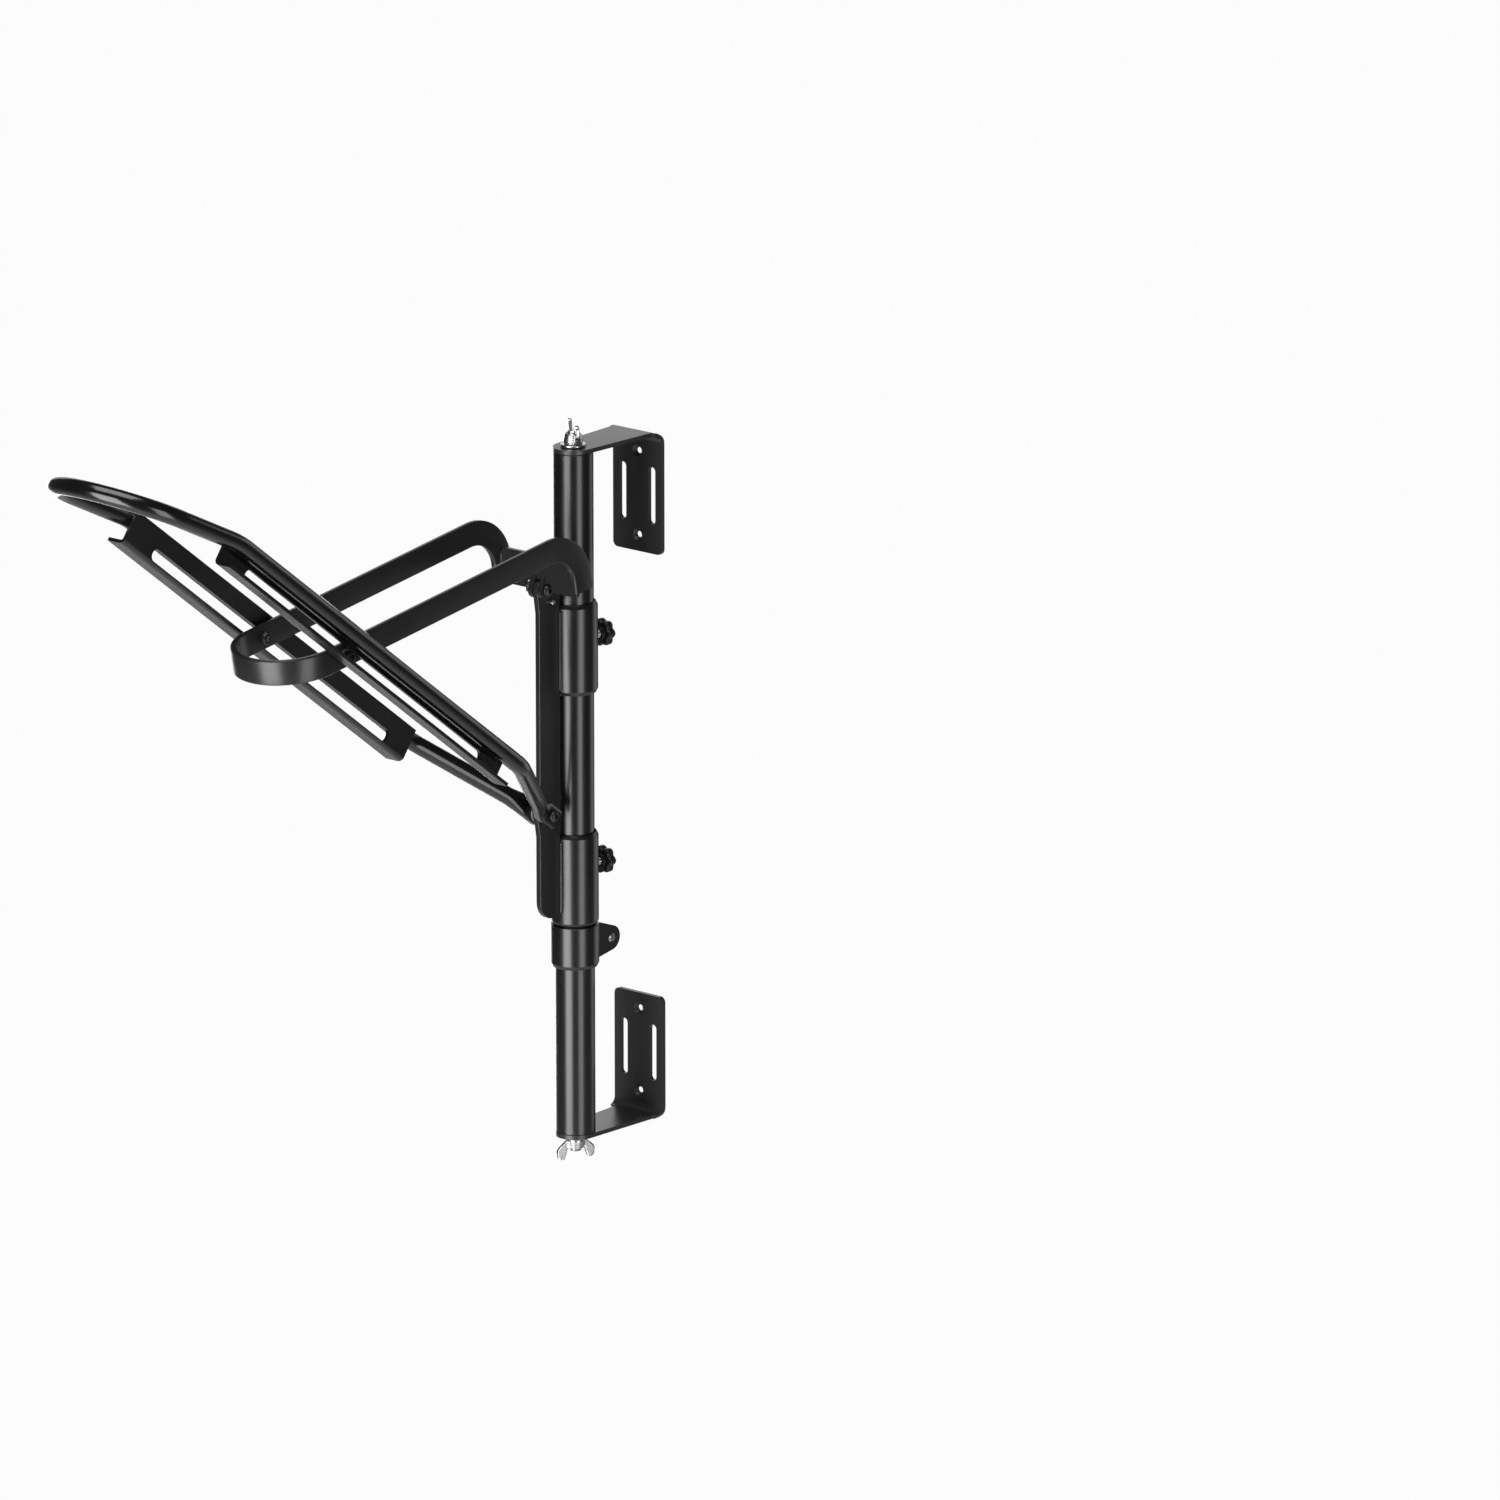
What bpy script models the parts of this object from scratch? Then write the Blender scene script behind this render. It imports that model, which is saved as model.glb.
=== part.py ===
"""Folding bike wall mount: a pole on two wall brackets carries a turning sleeve with a folding wheel cradle.

The origin is the centre of the upper wall plate's back face, the wall is towards +Y and +Z is up.
"""

import math
from typing import NamedTuple

import bmesh
import bpy
from mathutils import Matrix, Vector

# All sizes below are in millimetres and degrees
METRES = 0.001

# Fits
SEAT_GAP = 0.3
TURN_GAP = 0.1
SLIDE_GAP = 0.3

# Wall brackets
SHEET = 3.0
PLATE_WIDTH = 42.8
PLATE_HEIGHT = 85.0
PLATE_CORNER = 4.0
PLATE_SHOULDER_DROP = 3.6
BEND_RADIUS = 5.0
ARM_REACH = 68.4
ARM_NOSE_RIM = 0.0
ARM_WIDTH = 33.0
ARM_TAPER_START = 8.0
WALL_SLOT_SPACING = 25.6
WALL_SLOT_WIDTH = 6.0
WALL_SLOT_LENGTH = 39.5
WALL_SLOT_DROP = 2.4
WALL_HOLE_SPACING = 58.0
WALL_HOLE_RADIUS = 2.1
WALL_SINK_RADIUS = 4.0

# Pole and its end fittings
POLE_RADIUS = 13.5
POLE_WALL = 1.8
POLE_LENGTH = 472.0
PLUG_DEPTH = 24.0
STUD_RADIUS = 4.0
STUD_INSIDE = 20.0
STUD_OUTSIDE = 11.0
WASHER_RIM = 4.2
WASHER_THICKNESS = 1.6
WING_HUB_WALL = 2.5
WING_HUB_HEIGHT = 7.0
WING_SPAN = 14.0
WING_RISE = 15.0
WING_THICKNESS = 2.4
TOP_WING_ANGLE = -50.0
BOTTOM_WING_ANGLE = 66.0

# Turning sleeve
SLEEVE_DROP = 102.7
UPPER_COLLAR_LENGTH = 62.5
COLLAR_SPACING = 97.0
LOWER_COLLAR_LENGTH = 64.0
COLLAR_WALL = 1.5
COLLAR_CHAMFER = 1.2
COLLAR_CHAMFER_HEIGHT = 2.6
BUSHING_WALL = 1.0
BUSHING_LENGTH = 20.0
BUSHING_INSET = 1.0

# Stop collar under the sleeve
CLAMP_LENGTH = 29.4
CLAMP_WALL = 2.6
CLAMP_SLIT = 3.0
CLAMP_EAR_THICKNESS = 4.5
CLAMP_EAR_RADIUS = 8.5
CLAMP_EAR_STANDOFF = 14.6
CLAMP_EAR_DROP = 16.5
CLAMP_SCREW_RADIUS = 3.0
CLAMP_SCREW_PROUD = 0.8
CLAMP_KNOB_RADIUS = 11.0
CLAMP_KNOB_HEAD = 8.0
CLAMP_KNOB_NECK = 8.0

# Star knobs at the back of the sleeve
STAR_LOBES = 7
STAR_RADIUS = 9.6
STAR_LOBE_DEPTH = 2.6
STAR_THICKNESS = 9.0
STAR_STANDOFF = 7.8
STAR_STUD_RADIUS = 3.0
UPPER_STAR_DROP = 28.0
LOWER_STAR_DROP = 26.5

# Hinge rib, its heights counted from the sleeve's top
RIB_THICKNESS = 4.0
RIB_DEPTH = 20.4
RIB_RISE = 10.0
RIB_LENGTH = 225.0
RIB_CORNER = 13.0
EAR_RADIUS = 5.8
EAR_TAPER = 17.0
BOW_PIVOT_PROUD = -3.3
BOW_PIVOT_RISE = 14.7
FRAME_PIVOT_PROUD = -2.9
FRAME_PIVOT_DROP = 140.3
BOW_PIVOT_RADIUS = 2.5
FRAME_PIVOT_RADIUS = 3.0
RIB_PIN_INSET = 10.6
RIB_PIN_RISE = 4.6
RIB_PIN_RADIUS = 1.6
RIB_PIN_LENGTH = 11.0

# Cradle frame, measured along its own plane from the frame pivot
FRAME_SLOPE = 37.2
FRAME_TUBE_RADIUS = 6.25
FRAME_TUBE_WALL = 1.5
FRAME_HALF_GAUGE = 48.1
FRAME_TONGUE = 9.0
FRAME_TAIL = 9.0
FRAME_TONGUE_SLIT = 4.0
FRAME_TONGUE_BEND = 12.0
FRAME_TAPER_END = 95.0
FRAME_TAPER_BEND = 28.0
FRAME_KNEE = 438.0
FRAME_KNEE_DROP = 11.2
FRAME_KNEE_BEND = 90.0
FRAME_NOSE_LENGTH = 106.0
SPACER_THICKNESS = 1.2
SPACER_RIM = 3.4

# Slotted rails on the frame
RAIL_SETBACK = 4.0
RAIL_OVERRUN = 4.0
RAIL_SHEET = 2.4
RAIL_TOP = 5.1
RAIL_LIP = 11.7
RAIL_BEND = 1.5
RAIL_SLOT_WIDTH = 8.2
RAIL_SLOT_BELOW_TUBE = 5.1
RAIL_SLOT_LEDGE = 3.25
RAIL_SLOT_INNER_MARGIN = 23.2
RAIL_SLOT_OUTER_MARGIN = 29.0

# Bow, measured in its own plane from the bow pivot
BOW_HEIGHT = 17.0
BOW_THICKNESS = 4.0
BOW_EDGE = 1.0
BOW_LEG_RISE = 41.2
BOW_BOLT_REACH = 233.4
BOW_BEND_LEAD = 13.3
BOW_HOOK_REACH = 26.5
BOW_HOOK_RADIUS = 29.2
BOW_HOOK_TURN = 89.0
BOW_TAIL = 8.3

# Cross plate between the bow's hooks
CROSS_PLATE_THICKNESS = 3.0
CROSS_PLATE_HEIGHT = 24.0
CROSS_PLATE_HEM = 0.5
KNUCKLE_THICKNESS = 3.4
KNUCKLE_RADIUS = 6.6
NOTCH_CLEARANCE = 1.5

# Bolts of the hinges and slots
SLOT_BOLT_RADIUS = 2.0
SLOT_BOLT_DROP = 0.5
BOLT_HEAD_RADIUS = 3.9
BOLT_HEAD_HEIGHT = 2.0
BOLT_SOCKET_FLATS = 3.4
BOLT_SOCKET_DEPTH = 1.2
BOLT_OVERHANG = 1.2
NUT_FLATS = 8.0
NUT_HEIGHT = 3.6
PIVOT_HEAD_HEIGHT = 2.8
SLOT_WASHER_RIM = 2.5
SLOT_WASHER_THICKNESS = 1.2

# Facets
ROUND_SIDES = 28
SMALL_SIDES = 16
NUT_SIDES = 24
SOCKET_SIDES = 12
TUBE_SIDES = 12
STAR_STEPS = 5
ARC_STEP = 11.25
TAPER_STEP = 10.0

# Radii and places that follow from the sizes above
ARM_NOSE = POLE_RADIUS + ARM_NOSE_RIM
POLE_TOP = PLATE_HEIGHT / 2 - SHEET - SEAT_GAP
POLE_BOTTOM = POLE_TOP - POLE_LENGTH
LOWER_PLATE_CENTRE = POLE_BOTTOM - SEAT_GAP - SHEET + PLATE_HEIGHT / 2
SLEEVE_LENGTH = UPPER_COLLAR_LENGTH + COLLAR_SPACING + LOWER_COLLAR_LENGTH
COLLAR_BORE = POLE_RADIUS + TURN_GAP + BUSHING_WALL + TURN_GAP
COLLAR_RADIUS = COLLAR_BORE + COLLAR_WALL
CLAMP_RADIUS = POLE_RADIUS + SLIDE_GAP + CLAMP_WALL
CLAMP_EAR_REACH = CLAMP_RADIUS + CLAMP_EAR_STANDOFF
STAR_REACH = COLLAR_RADIUS + STAR_STANDOFF
RIB_BACK = COLLAR_RADIUS + SEAT_GAP
RIB_FRONT = RIB_BACK + RIB_DEPTH
BOW_PIVOT_REACH = RIB_FRONT + BOW_PIVOT_PROUD
FRAME_PIVOT_REACH = RIB_FRONT + FRAME_PIVOT_PROUD
FRAME_TONGUE_THICKNESS = 2 * FRAME_TUBE_WALL + FRAME_TONGUE_SLIT
FRAME_END_CENTRE = RIB_THICKNESS / 2 + SPACER_THICKNESS + FRAME_TONGUE_THICKNESS / 2 + 2 * SEAT_GAP
RAIL_OUTER_FACE = FRAME_HALF_GAUGE - FRAME_TUBE_RADIUS - SEAT_GAP
RAIL_INNER_FACE = RAIL_OUTER_FACE - RAIL_SHEET
RAIL_SLOT_DROP = FRAME_TUBE_RADIUS + RAIL_SLOT_BELOW_TUBE
RAIL_BOTTOM = RAIL_SLOT_DROP + RAIL_SLOT_WIDTH / 2 + RAIL_SLOT_LEDGE
RAIL_END = FRAME_KNEE + RAIL_OVERRUN
BOW_HALF_GAUGE = RAIL_INNER_FACE - 2 * SEAT_GAP - SLOT_WASHER_THICKNESS - BOW_THICKNESS / 2
BOW_INNER_FACE = BOW_HALF_GAUGE - BOW_THICKNESS / 2
BOW_OUTER_FACE = BOW_HALF_GAUGE + BOW_THICKNESS / 2


def rail_start():
    """Where the rails begin: a little after the loop's taper has bent straight."""
    taper = math.atan2(FRAME_HALF_GAUGE - FRAME_END_CENTRE, FRAME_TAPER_END - FRAME_TONGUE)
    return FRAME_TAPER_END + FRAME_TAPER_BEND * math.tan(taper / 2) + RAIL_SETBACK


def tongue_width():
    """Width of the flattened tube end, whose outline is as long as the round tube's."""
    return FRAME_TONGUE_THICKNESS + math.pi * (FRAME_TUBE_RADIUS - FRAME_TONGUE_THICKNESS / 2)


def bow_slope():
    """Slope in degrees at which the bow's bolts hang in the rails' slots, just below their middle line."""
    slope = math.radians(FRAME_SLOPE)
    along = Vector((math.cos(slope), math.sin(slope)))
    above = Vector((-math.sin(slope), math.cos(slope)))
    bow_pivot = Vector((BOW_PIVOT_REACH - FRAME_PIVOT_REACH, BOW_PIVOT_RISE + FRAME_PIVOT_DROP))
    to_line = -RAIL_SLOT_DROP - SLOT_BOLT_DROP - bow_pivot.dot(above)
    arm = math.hypot(BOW_BOLT_REACH, BOW_LEG_RISE)
    bolt = above * to_line + along * math.sqrt(arm**2 - to_line**2)
    return math.degrees(math.atan2(BOW_LEG_RISE, BOW_BOLT_REACH) - math.atan2(bolt.y, bolt.x))


class Finish(NamedTuple):
    """Colour, roughness and metallic of one finish."""

    color: tuple
    roughness: float
    metallic: float


POWDER_BLACK = Finish((0.028, 0.029, 0.030), 0.38, 0.0)
GLOSS_BLACK = Finish((0.022, 0.023, 0.024), 0.26, 0.0)
SATIN_GREY = Finish((0.085, 0.088, 0.088), 0.42, 0.3)
KNOB_BLACK = Finish((0.012, 0.012, 0.013), 0.5, 0.0)
BUSHING_GREY = Finish((0.16, 0.16, 0.16), 0.55, 0.0)
BRIGHT_ZINC = Finish((0.78, 0.78, 0.77), 0.22, 1.0)


class Shape(NamedTuple):
    """Points and faces of one closed surface."""

    points: list
    faces: list


# Outlines


def arc(centre, radius, start, end, step=ARC_STEP):
    """Points on an arc between two angles in degrees, both ends included."""
    count = max(1, math.ceil(abs(end - start) / step))
    angles = [math.radians(start + (end - start) * i / count) for i in range(count + 1)]
    return [(centre[0] + radius * math.cos(a), centre[1] + radius * math.sin(a)) for a in angles]


def circle(radius, sides, centre=(0.0, 0.0)):
    """Points of a full circle, without repeating the first."""
    return arc(centre, radius, 0.0, 360.0, 360.0 / sides)[:-1]


def tangent_angle(centre, radius, point, side):
    """Angle in degrees at which a line from the point touches the circle, on side +1 or -1."""
    away = math.atan2(point[1] - centre[1], point[0] - centre[0])
    distance = math.dist(centre, point)
    return math.degrees(away + side * math.acos(radius / distance))


def rounded(corners, step=15.0):
    """Closed outline through (x, y, radius) corners, each corner rounded to its radius."""
    outline = []
    for i, (x, y, radius) in enumerate(corners):
        here = Vector((x, y))
        before = (Vector(corners[i - 1][:2]) - here).normalized()
        after = (Vector(corners[(i + 1) % len(corners)][:2]) - here).normalized()
        if radius == 0.0:
            outline.append((x, y))
            continue
        half = before.angle(after) / 2
        centre = here + (before + after).normalized() * radius / math.sin(half)
        touch_in = here + before * radius / math.tan(half) - centre
        touch_out = here + after * radius / math.tan(half) - centre
        start = math.degrees(math.atan2(touch_in.y, touch_in.x))
        sweep = math.degrees(math.atan2(touch_out.y, touch_out.x)) - start
        sweep = (sweep + 180.0) % 360.0 - 180.0
        outline += arc(centre, radius, start, start + sweep, step)
    return outline


def stadium(length, width, centre, upright=True, sides=SMALL_SIDES):
    """Outline of a slot with round ends."""
    reach = (length - width) / 2
    step = 360.0 / sides
    ends = arc((reach, 0.0), width / 2, -90.0, 90.0, step) + arc((-reach, 0.0), width / 2, 90.0, 270.0, step)
    if upright:
        ends = [(-y, x) for x, y in ends]
    return [(centre[0] + x, centre[1] + y) for x, y in ends]


def hexagon(flats, sides=NUT_SIDES):
    """Hexagon of the given width across flats, sampled at even angles that include its corners."""
    outline = []
    for i in range(sides):
        turn = 360.0 * i / sides
        off_flat = math.radians((turn + 30.0) % 60.0 - 30.0)
        radius = flats / 2 / math.cos(off_flat)
        outline.append((radius * math.cos(math.radians(turn)), radius * math.sin(math.radians(turn))))
    return outline


# Shapes


def on_axis(axis, u, v, w):
    """Point with outline coordinates u, v and the height w along the named axis."""
    return {"x": (w, u, v), "y": (u, w, v), "z": (u, v, w)}[axis]


def prism(axis, outline, low, high):
    """Outline pushed from low to high along an axis."""
    count = len(outline)
    points = [on_axis(axis, u, v, w) for w in (low, high) for u, v in outline]
    faces = [(i, (i + 1) % count, count + (i + 1) % count, count + i) for i in range(count)]
    faces += [tuple(reversed(range(count))), tuple(range(count, 2 * count))]
    return Shape(points, faces)


def skin(rings, closed=False):
    """Surface through equal rings of points, its ends capped unless the rings close on themselves."""
    count = len(rings[0])
    spans = len(rings) if closed else len(rings) - 1
    points = [tuple(p) for ring in rings for p in ring]
    faces = []
    for r in range(spans):
        here = r * count
        there = ((r + 1) % len(rings)) * count
        for i in range(count):
            after = (i + 1) % count
            faces.append((here + i, here + after, there + after, there + i))
    if not closed:
        last = (len(rings) - 1) * count
        faces += [tuple(reversed(range(count))), tuple(range(last, last + count))]
    return Shape(points, faces)


def revolve(axis, profile, sides=SMALL_SIDES, closed=False):
    """Profile of (radius, height) points turned round an axis; a closed profile makes a ring."""
    turns = [2 * math.pi * i / sides for i in range(sides)]
    rings = [[on_axis(axis, r * math.cos(t), r * math.sin(t), h) for t in turns] for r, h in profile]
    return skin(rings, closed)


def hollow(outer_rings, inner_rings):
    """Tube wall between outer and inner rings, open at both ends."""
    return skin(outer_rings + inner_rings[::-1], closed=True)


def pierced(axis, outline, bore, low, high):
    """Prism with a round bore; the outline and the bore have the same number of points."""
    outer = [[on_axis(axis, u, v, w) for u, v in outline] for w in (low, high)]
    inner = [[on_axis(axis, u, v, w) for u, v in circle(bore, len(outline))] for w in (low, high)]
    return hollow(outer, inner)


def moved(shape, matrix):
    """Copy of a shape carried by a matrix."""
    return Shape([tuple(matrix @ Vector(p)) for p in shape.points], shape.faces)


def shifted(shape, x=0.0, y=0.0, z=0.0):
    """Copy of a shape moved along the axes."""
    return moved(shape, Matrix.Translation((x, y, z)))


def merged(*shapes):
    """One shape from several that don't touch."""
    points = []
    faces = []
    for shape in shapes:
        start = len(points)
        points += shape.points
        faces += [tuple(start + i for i in face) for face in shape.faces]
    return Shape(points, faces)


# Objects


def clear_scene():
    """Remove every object that the scene starts with."""
    for obj in list(bpy.data.objects):
        bpy.data.objects.remove(obj, do_unlink=True)


def mesh_from(name, shape):
    """Mesh in metres with outward normals and smooth shading up to sharp edges."""
    form = bmesh.new()
    corners = [form.verts.new([METRES * c for c in point]) for point in shape.points]
    for face in shape.faces:
        form.faces.new([corners[i] for i in face])
    bmesh.ops.recalc_face_normals(form, faces=form.faces)
    mesh = bpy.data.meshes.new(name)
    form.to_mesh(mesh)
    form.free()
    mesh.shade_smooth()
    mesh.set_sharp_from_angle(angle=math.radians(35.0))
    return mesh


def add_object(name, data, parent=None, place=(0.0, 0.0, 0.0), turn=(0.0, 0.0, 0.0)):
    """Object at a place in millimetres and a turn in degrees, both relative to its parent."""
    obj = bpy.data.objects.new(name, data)
    bpy.context.scene.collection.objects.link(obj)
    obj.parent = parent
    obj.location = Vector(place) * METRES
    obj.rotation_euler = [math.radians(a) for a in turn]
    return obj


def add_axis(name, parent=None, place=(0.0, 0.0, 0.0), turn=(0.0, 0.0, 0.0)):
    """Empty that stands on the axis of one moving group."""
    axis = add_object(name, None, parent, place, turn)
    axis.empty_display_size = 0.02
    return axis


def add_part(name, shape, finish, parent=None, place=(0.0, 0.0, 0.0), turn=(0.0, 0.0, 0.0)):
    """Solid object with its own material."""
    obj = add_object(name, mesh_from(name, shape), parent, place, turn)
    material = bpy.data.materials.new(name)
    material.use_nodes = True
    shader = material.node_tree.nodes["Principled BSDF"]
    shader.inputs["Base Color"].default_value = (*finish.color, 1.0)
    shader.inputs["Roughness"].default_value = finish.roughness
    shader.inputs["Metallic"].default_value = finish.metallic
    material.diffuse_color = (*finish.color, 1.0)
    obj.data.materials.append(material)
    return obj


def combine(part, shape, operation):
    """Exact Boolean of a part with a helper solid that rides on it."""
    name = f"{part.name}_{operation.lower()}_{len(part.modifiers)}"
    helper = add_object(name, mesh_from(name, shape), part)
    helper.hide_render = True
    helper.display_type = "WIRE"
    boolean = part.modifiers.new(name, "BOOLEAN")
    boolean.operation = operation
    boolean.solver = "EXACT"
    boolean.object = helper


def cut(part, *shapes):
    """Cut each shape from the part."""
    for shape in shapes:
        combine(part, shape, "DIFFERENCE")


def join(part, *shapes):
    """Add each shape to the part."""
    for shape in shapes:
        combine(part, shape, "UNION")


def keep_within(part, *shapes):
    """Keep only what lies within each shape."""
    for shape in shapes:
        combine(part, shape, "INTERSECT")


# Wall brackets


def bracket_profile():
    """Side view of the bent sheet in (y, z), from the plate's foot to the arm's end."""
    top = PLATE_HEIGHT / 2
    bend = BEND_RADIUS + SHEET
    end = -ARM_REACH - ARM_NOSE - 1.0
    outside = [(0.0, -top)] + arc((-bend, top - bend), bend, 0.0, 90.0) + [(end, top)]
    inside = [(end, top - SHEET)] + arc((-bend, top - bend), BEND_RADIUS, 90.0, 0.0) + [(-SHEET, -top)]
    return outside + inside


def arm_plan():
    """Plan view of the arm in (x, y), narrowing from the bend to a round nose; the plate's part is wider."""
    over = PLATE_WIDTH / 2 + 1.0
    root = ARM_WIDTH / 2
    centre = (0.0, -ARM_REACH)
    right = tangent_angle(centre, ARM_NOSE, (root, -ARM_TAPER_START), -1.0)
    nose = arc(centre, ARM_NOSE, right, -180.0 - right)
    right_side = [(over, 2.0), (over, -ARM_TAPER_START), (root, -ARM_TAPER_START)]
    return right_side + nose + [(-x, y) for x, y in reversed(right_side)]


def plate_front():
    """Front view in (x, z): the plate with round corners, and round shoulders where the arm leaves it."""
    half = PLATE_WIDTH / 2
    arm = ARM_WIDTH / 2
    foot = -PLATE_HEIGHT / 2
    over = PLATE_HEIGHT / 2 + 2.0
    shoulder = PLATE_HEIGHT / 2 - PLATE_SHOULDER_DROP
    round_off = half - arm - 0.1
    corners = [
        (arm, over, 0.0),
        (-arm, over, 0.0),
        (-arm, shoulder, 0.0),
        (-half, shoulder, round_off),
        (-half, foot, PLATE_CORNER),
        (half, foot, PLATE_CORNER),
        (half, shoulder, round_off),
        (arm, shoulder, 0.0),
    ]
    return rounded(corners)


def wall_slots():
    """The two upright adjusting slots."""
    outlines = [
        stadium(WALL_SLOT_LENGTH, WALL_SLOT_WIDTH, (side * WALL_SLOT_SPACING / 2, -WALL_SLOT_DROP))
        for side in (-1.0, 1.0)
    ]
    return merged(*[prism("y", outline, -SHEET - 1.0, 1.0) for outline in outlines])


def wall_holes():
    """The two countersunk holes on the plate's centre line."""
    front = -SHEET
    profile = [
        (WALL_SINK_RADIUS + 1.0, front - 1.0),
        (WALL_HOLE_RADIUS, front + WALL_SINK_RADIUS - WALL_HOLE_RADIUS),
        (WALL_HOLE_RADIUS, 1.0),
    ]
    hole = revolve("y", profile)
    half = WALL_HOLE_SPACING / 2
    return merged(shifted(hole, z=half - WALL_SLOT_DROP), shifted(hole, z=-half - WALL_SLOT_DROP))


def build_bracket(name, height, turn):
    """One bent sheet bracket; the lower one is the same piece turned over."""
    half = PLATE_WIDTH / 2 + 0.5
    sheet = prism("x", bracket_profile(), -half, half)
    bracket = add_part(name, sheet, POWDER_BLACK, place=(0.0, 0.0, height), turn=(0.0, turn, 0.0))
    keep_within(bracket, prism("z", arm_plan(), -PLATE_HEIGHT, PLATE_HEIGHT))
    keep_within(bracket, prism("y", plate_front(), -2 * ARM_REACH, 5.0))
    cut(bracket, wall_slots(), wall_holes())
    stud_hole = revolve("z", [(STUD_RADIUS + SEAT_GAP, 0.0), (STUD_RADIUS + SEAT_GAP, PLATE_HEIGHT)])
    cut(bracket, shifted(stud_hole, y=-ARM_REACH))


# Pole and its end fittings


def build_pole():
    """Round tube between the two arms."""
    bore = POLE_RADIUS - POLE_WALL
    profile = [(POLE_RADIUS, 0.0), (POLE_RADIUS, POLE_LENGTH), (bore, POLE_LENGTH), (bore, 0.0)]
    place = (0.0, -ARM_REACH, POLE_BOTTOM)
    add_part("pole", revolve("z", profile, ROUND_SIDES, closed=True), POWDER_BLACK, place=place)


def plug_shape():
    """Threaded insert that hangs in the tube's end, flush with it."""
    radius = POLE_RADIUS - POLE_WALL - TURN_GAP
    bore = STUD_RADIUS + TURN_GAP
    profile = [
        (radius, 0.0),
        (radius, -PLUG_DEPTH + 1.5),
        (radius - 1.5, -PLUG_DEPTH),
        (bore, -PLUG_DEPTH),
        (bore, 0.0),
    ]
    return revolve("z", profile, ROUND_SIDES, closed=True)


def stud_shape():
    """Stud from inside the plug up through the arm and the wing nut."""
    top = SEAT_GAP + SHEET + STUD_OUTSIDE
    profile = [
        (STUD_RADIUS - 0.8, -STUD_INSIDE),
        (STUD_RADIUS, -STUD_INSIDE + 0.8),
        (STUD_RADIUS, top - 0.8),
        (STUD_RADIUS - 0.8, top),
    ]
    return revolve("z", profile)


def wing_outline():
    """One wing in (reach, height): a waisted root that flares to a round ear."""
    tip = WING_SPAN
    top = WING_RISE
    hub = STUD_RADIUS + TURN_GAP + WING_HUB_WALL
    corners = [
        (STUD_RADIUS + 1.2, 0.8, 0.0),
        (hub + 1.0, 1.6, 1.5),
        (tip, top - 8.0, 3.4),
        (tip - 0.6, top, 3.0),
        (tip - 5.6, top - 1.0, 2.4),
        (hub - 0.2, WING_HUB_HEIGHT, 1.5),
        (STUD_RADIUS + 1.2, WING_HUB_HEIGHT - 1.0, 0.0),
    ]
    return rounded(corners, 18.0)


def add_wing_nut(name, parent, place, turn):
    """Wing nut with a conical hub and two wings."""
    bore = STUD_RADIUS + TURN_GAP
    radius = bore + WING_HUB_WALL
    hub = [
        (radius - 0.5, 0.0),
        (radius, 0.6),
        (radius - 1.0, WING_HUB_HEIGHT - 0.5),
        (radius - 1.6, WING_HUB_HEIGHT),
    ]
    nut = add_part(name, revolve("z", hub), BRIGHT_ZINC, parent, place, turn)
    wing = prism("y", wing_outline(), -WING_THICKNESS / 2, WING_THICKNESS / 2)
    join(nut, wing, moved(wing, Matrix.Rotation(math.pi, 4, "Z")))
    cut(nut, revolve("z", [(bore, -1.0), (bore, WING_RISE)]))


def build_pole_end(side, height, turn, wing_angle):
    """Plug, stud, washer and wing nut of one end, built upwards from the pole's end face."""
    end = add_axis(f"{side}_end_axis", place=(0.0, -ARM_REACH, height), turn=(turn, 0.0, 0.0))
    add_part(f"{side}_pole_plug", plug_shape(), BRIGHT_ZINC, end)
    add_part(f"{side}_stud", stud_shape(), BRIGHT_ZINC, end)
    seat = SEAT_GAP + SHEET + SEAT_GAP
    bore = STUD_RADIUS + SEAT_GAP
    ring = pierced("z", circle(bore + WASHER_RIM, ROUND_SIDES), bore, 0.0, WASHER_THICKNESS)
    add_part(f"{side}_washer", ring, BRIGHT_ZINC, end, (0.0, 0.0, seat))
    nut_seat = (0.0, 0.0, seat + WASHER_THICKNESS + SEAT_GAP)
    add_wing_nut(f"{side}_wing_nut", end, nut_seat, (0.0, 0.0, wing_angle))


# Stop collar


def clamp_ear_outline():
    """Ear pair in (y, z) about the pole's axis: a round boss tapering down to the collar's foot."""
    boss = (CLAMP_EAR_REACH, -CLAMP_EAR_DROP)
    root = POLE_RADIUS + SLIDE_GAP + CLAMP_WALL / 2
    foot = (root, -CLAMP_LENGTH + COLLAR_CHAMFER + 0.5)
    crown = (root, -COLLAR_CHAMFER - 0.3)
    low = tangent_angle(boss, CLAMP_EAR_RADIUS, foot, 1.0)
    high = tangent_angle(boss, CLAMP_EAR_RADIUS, crown, -1.0)
    return [foot] + arc(boss, CLAMP_EAR_RADIUS, low, high) + [crown]


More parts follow.
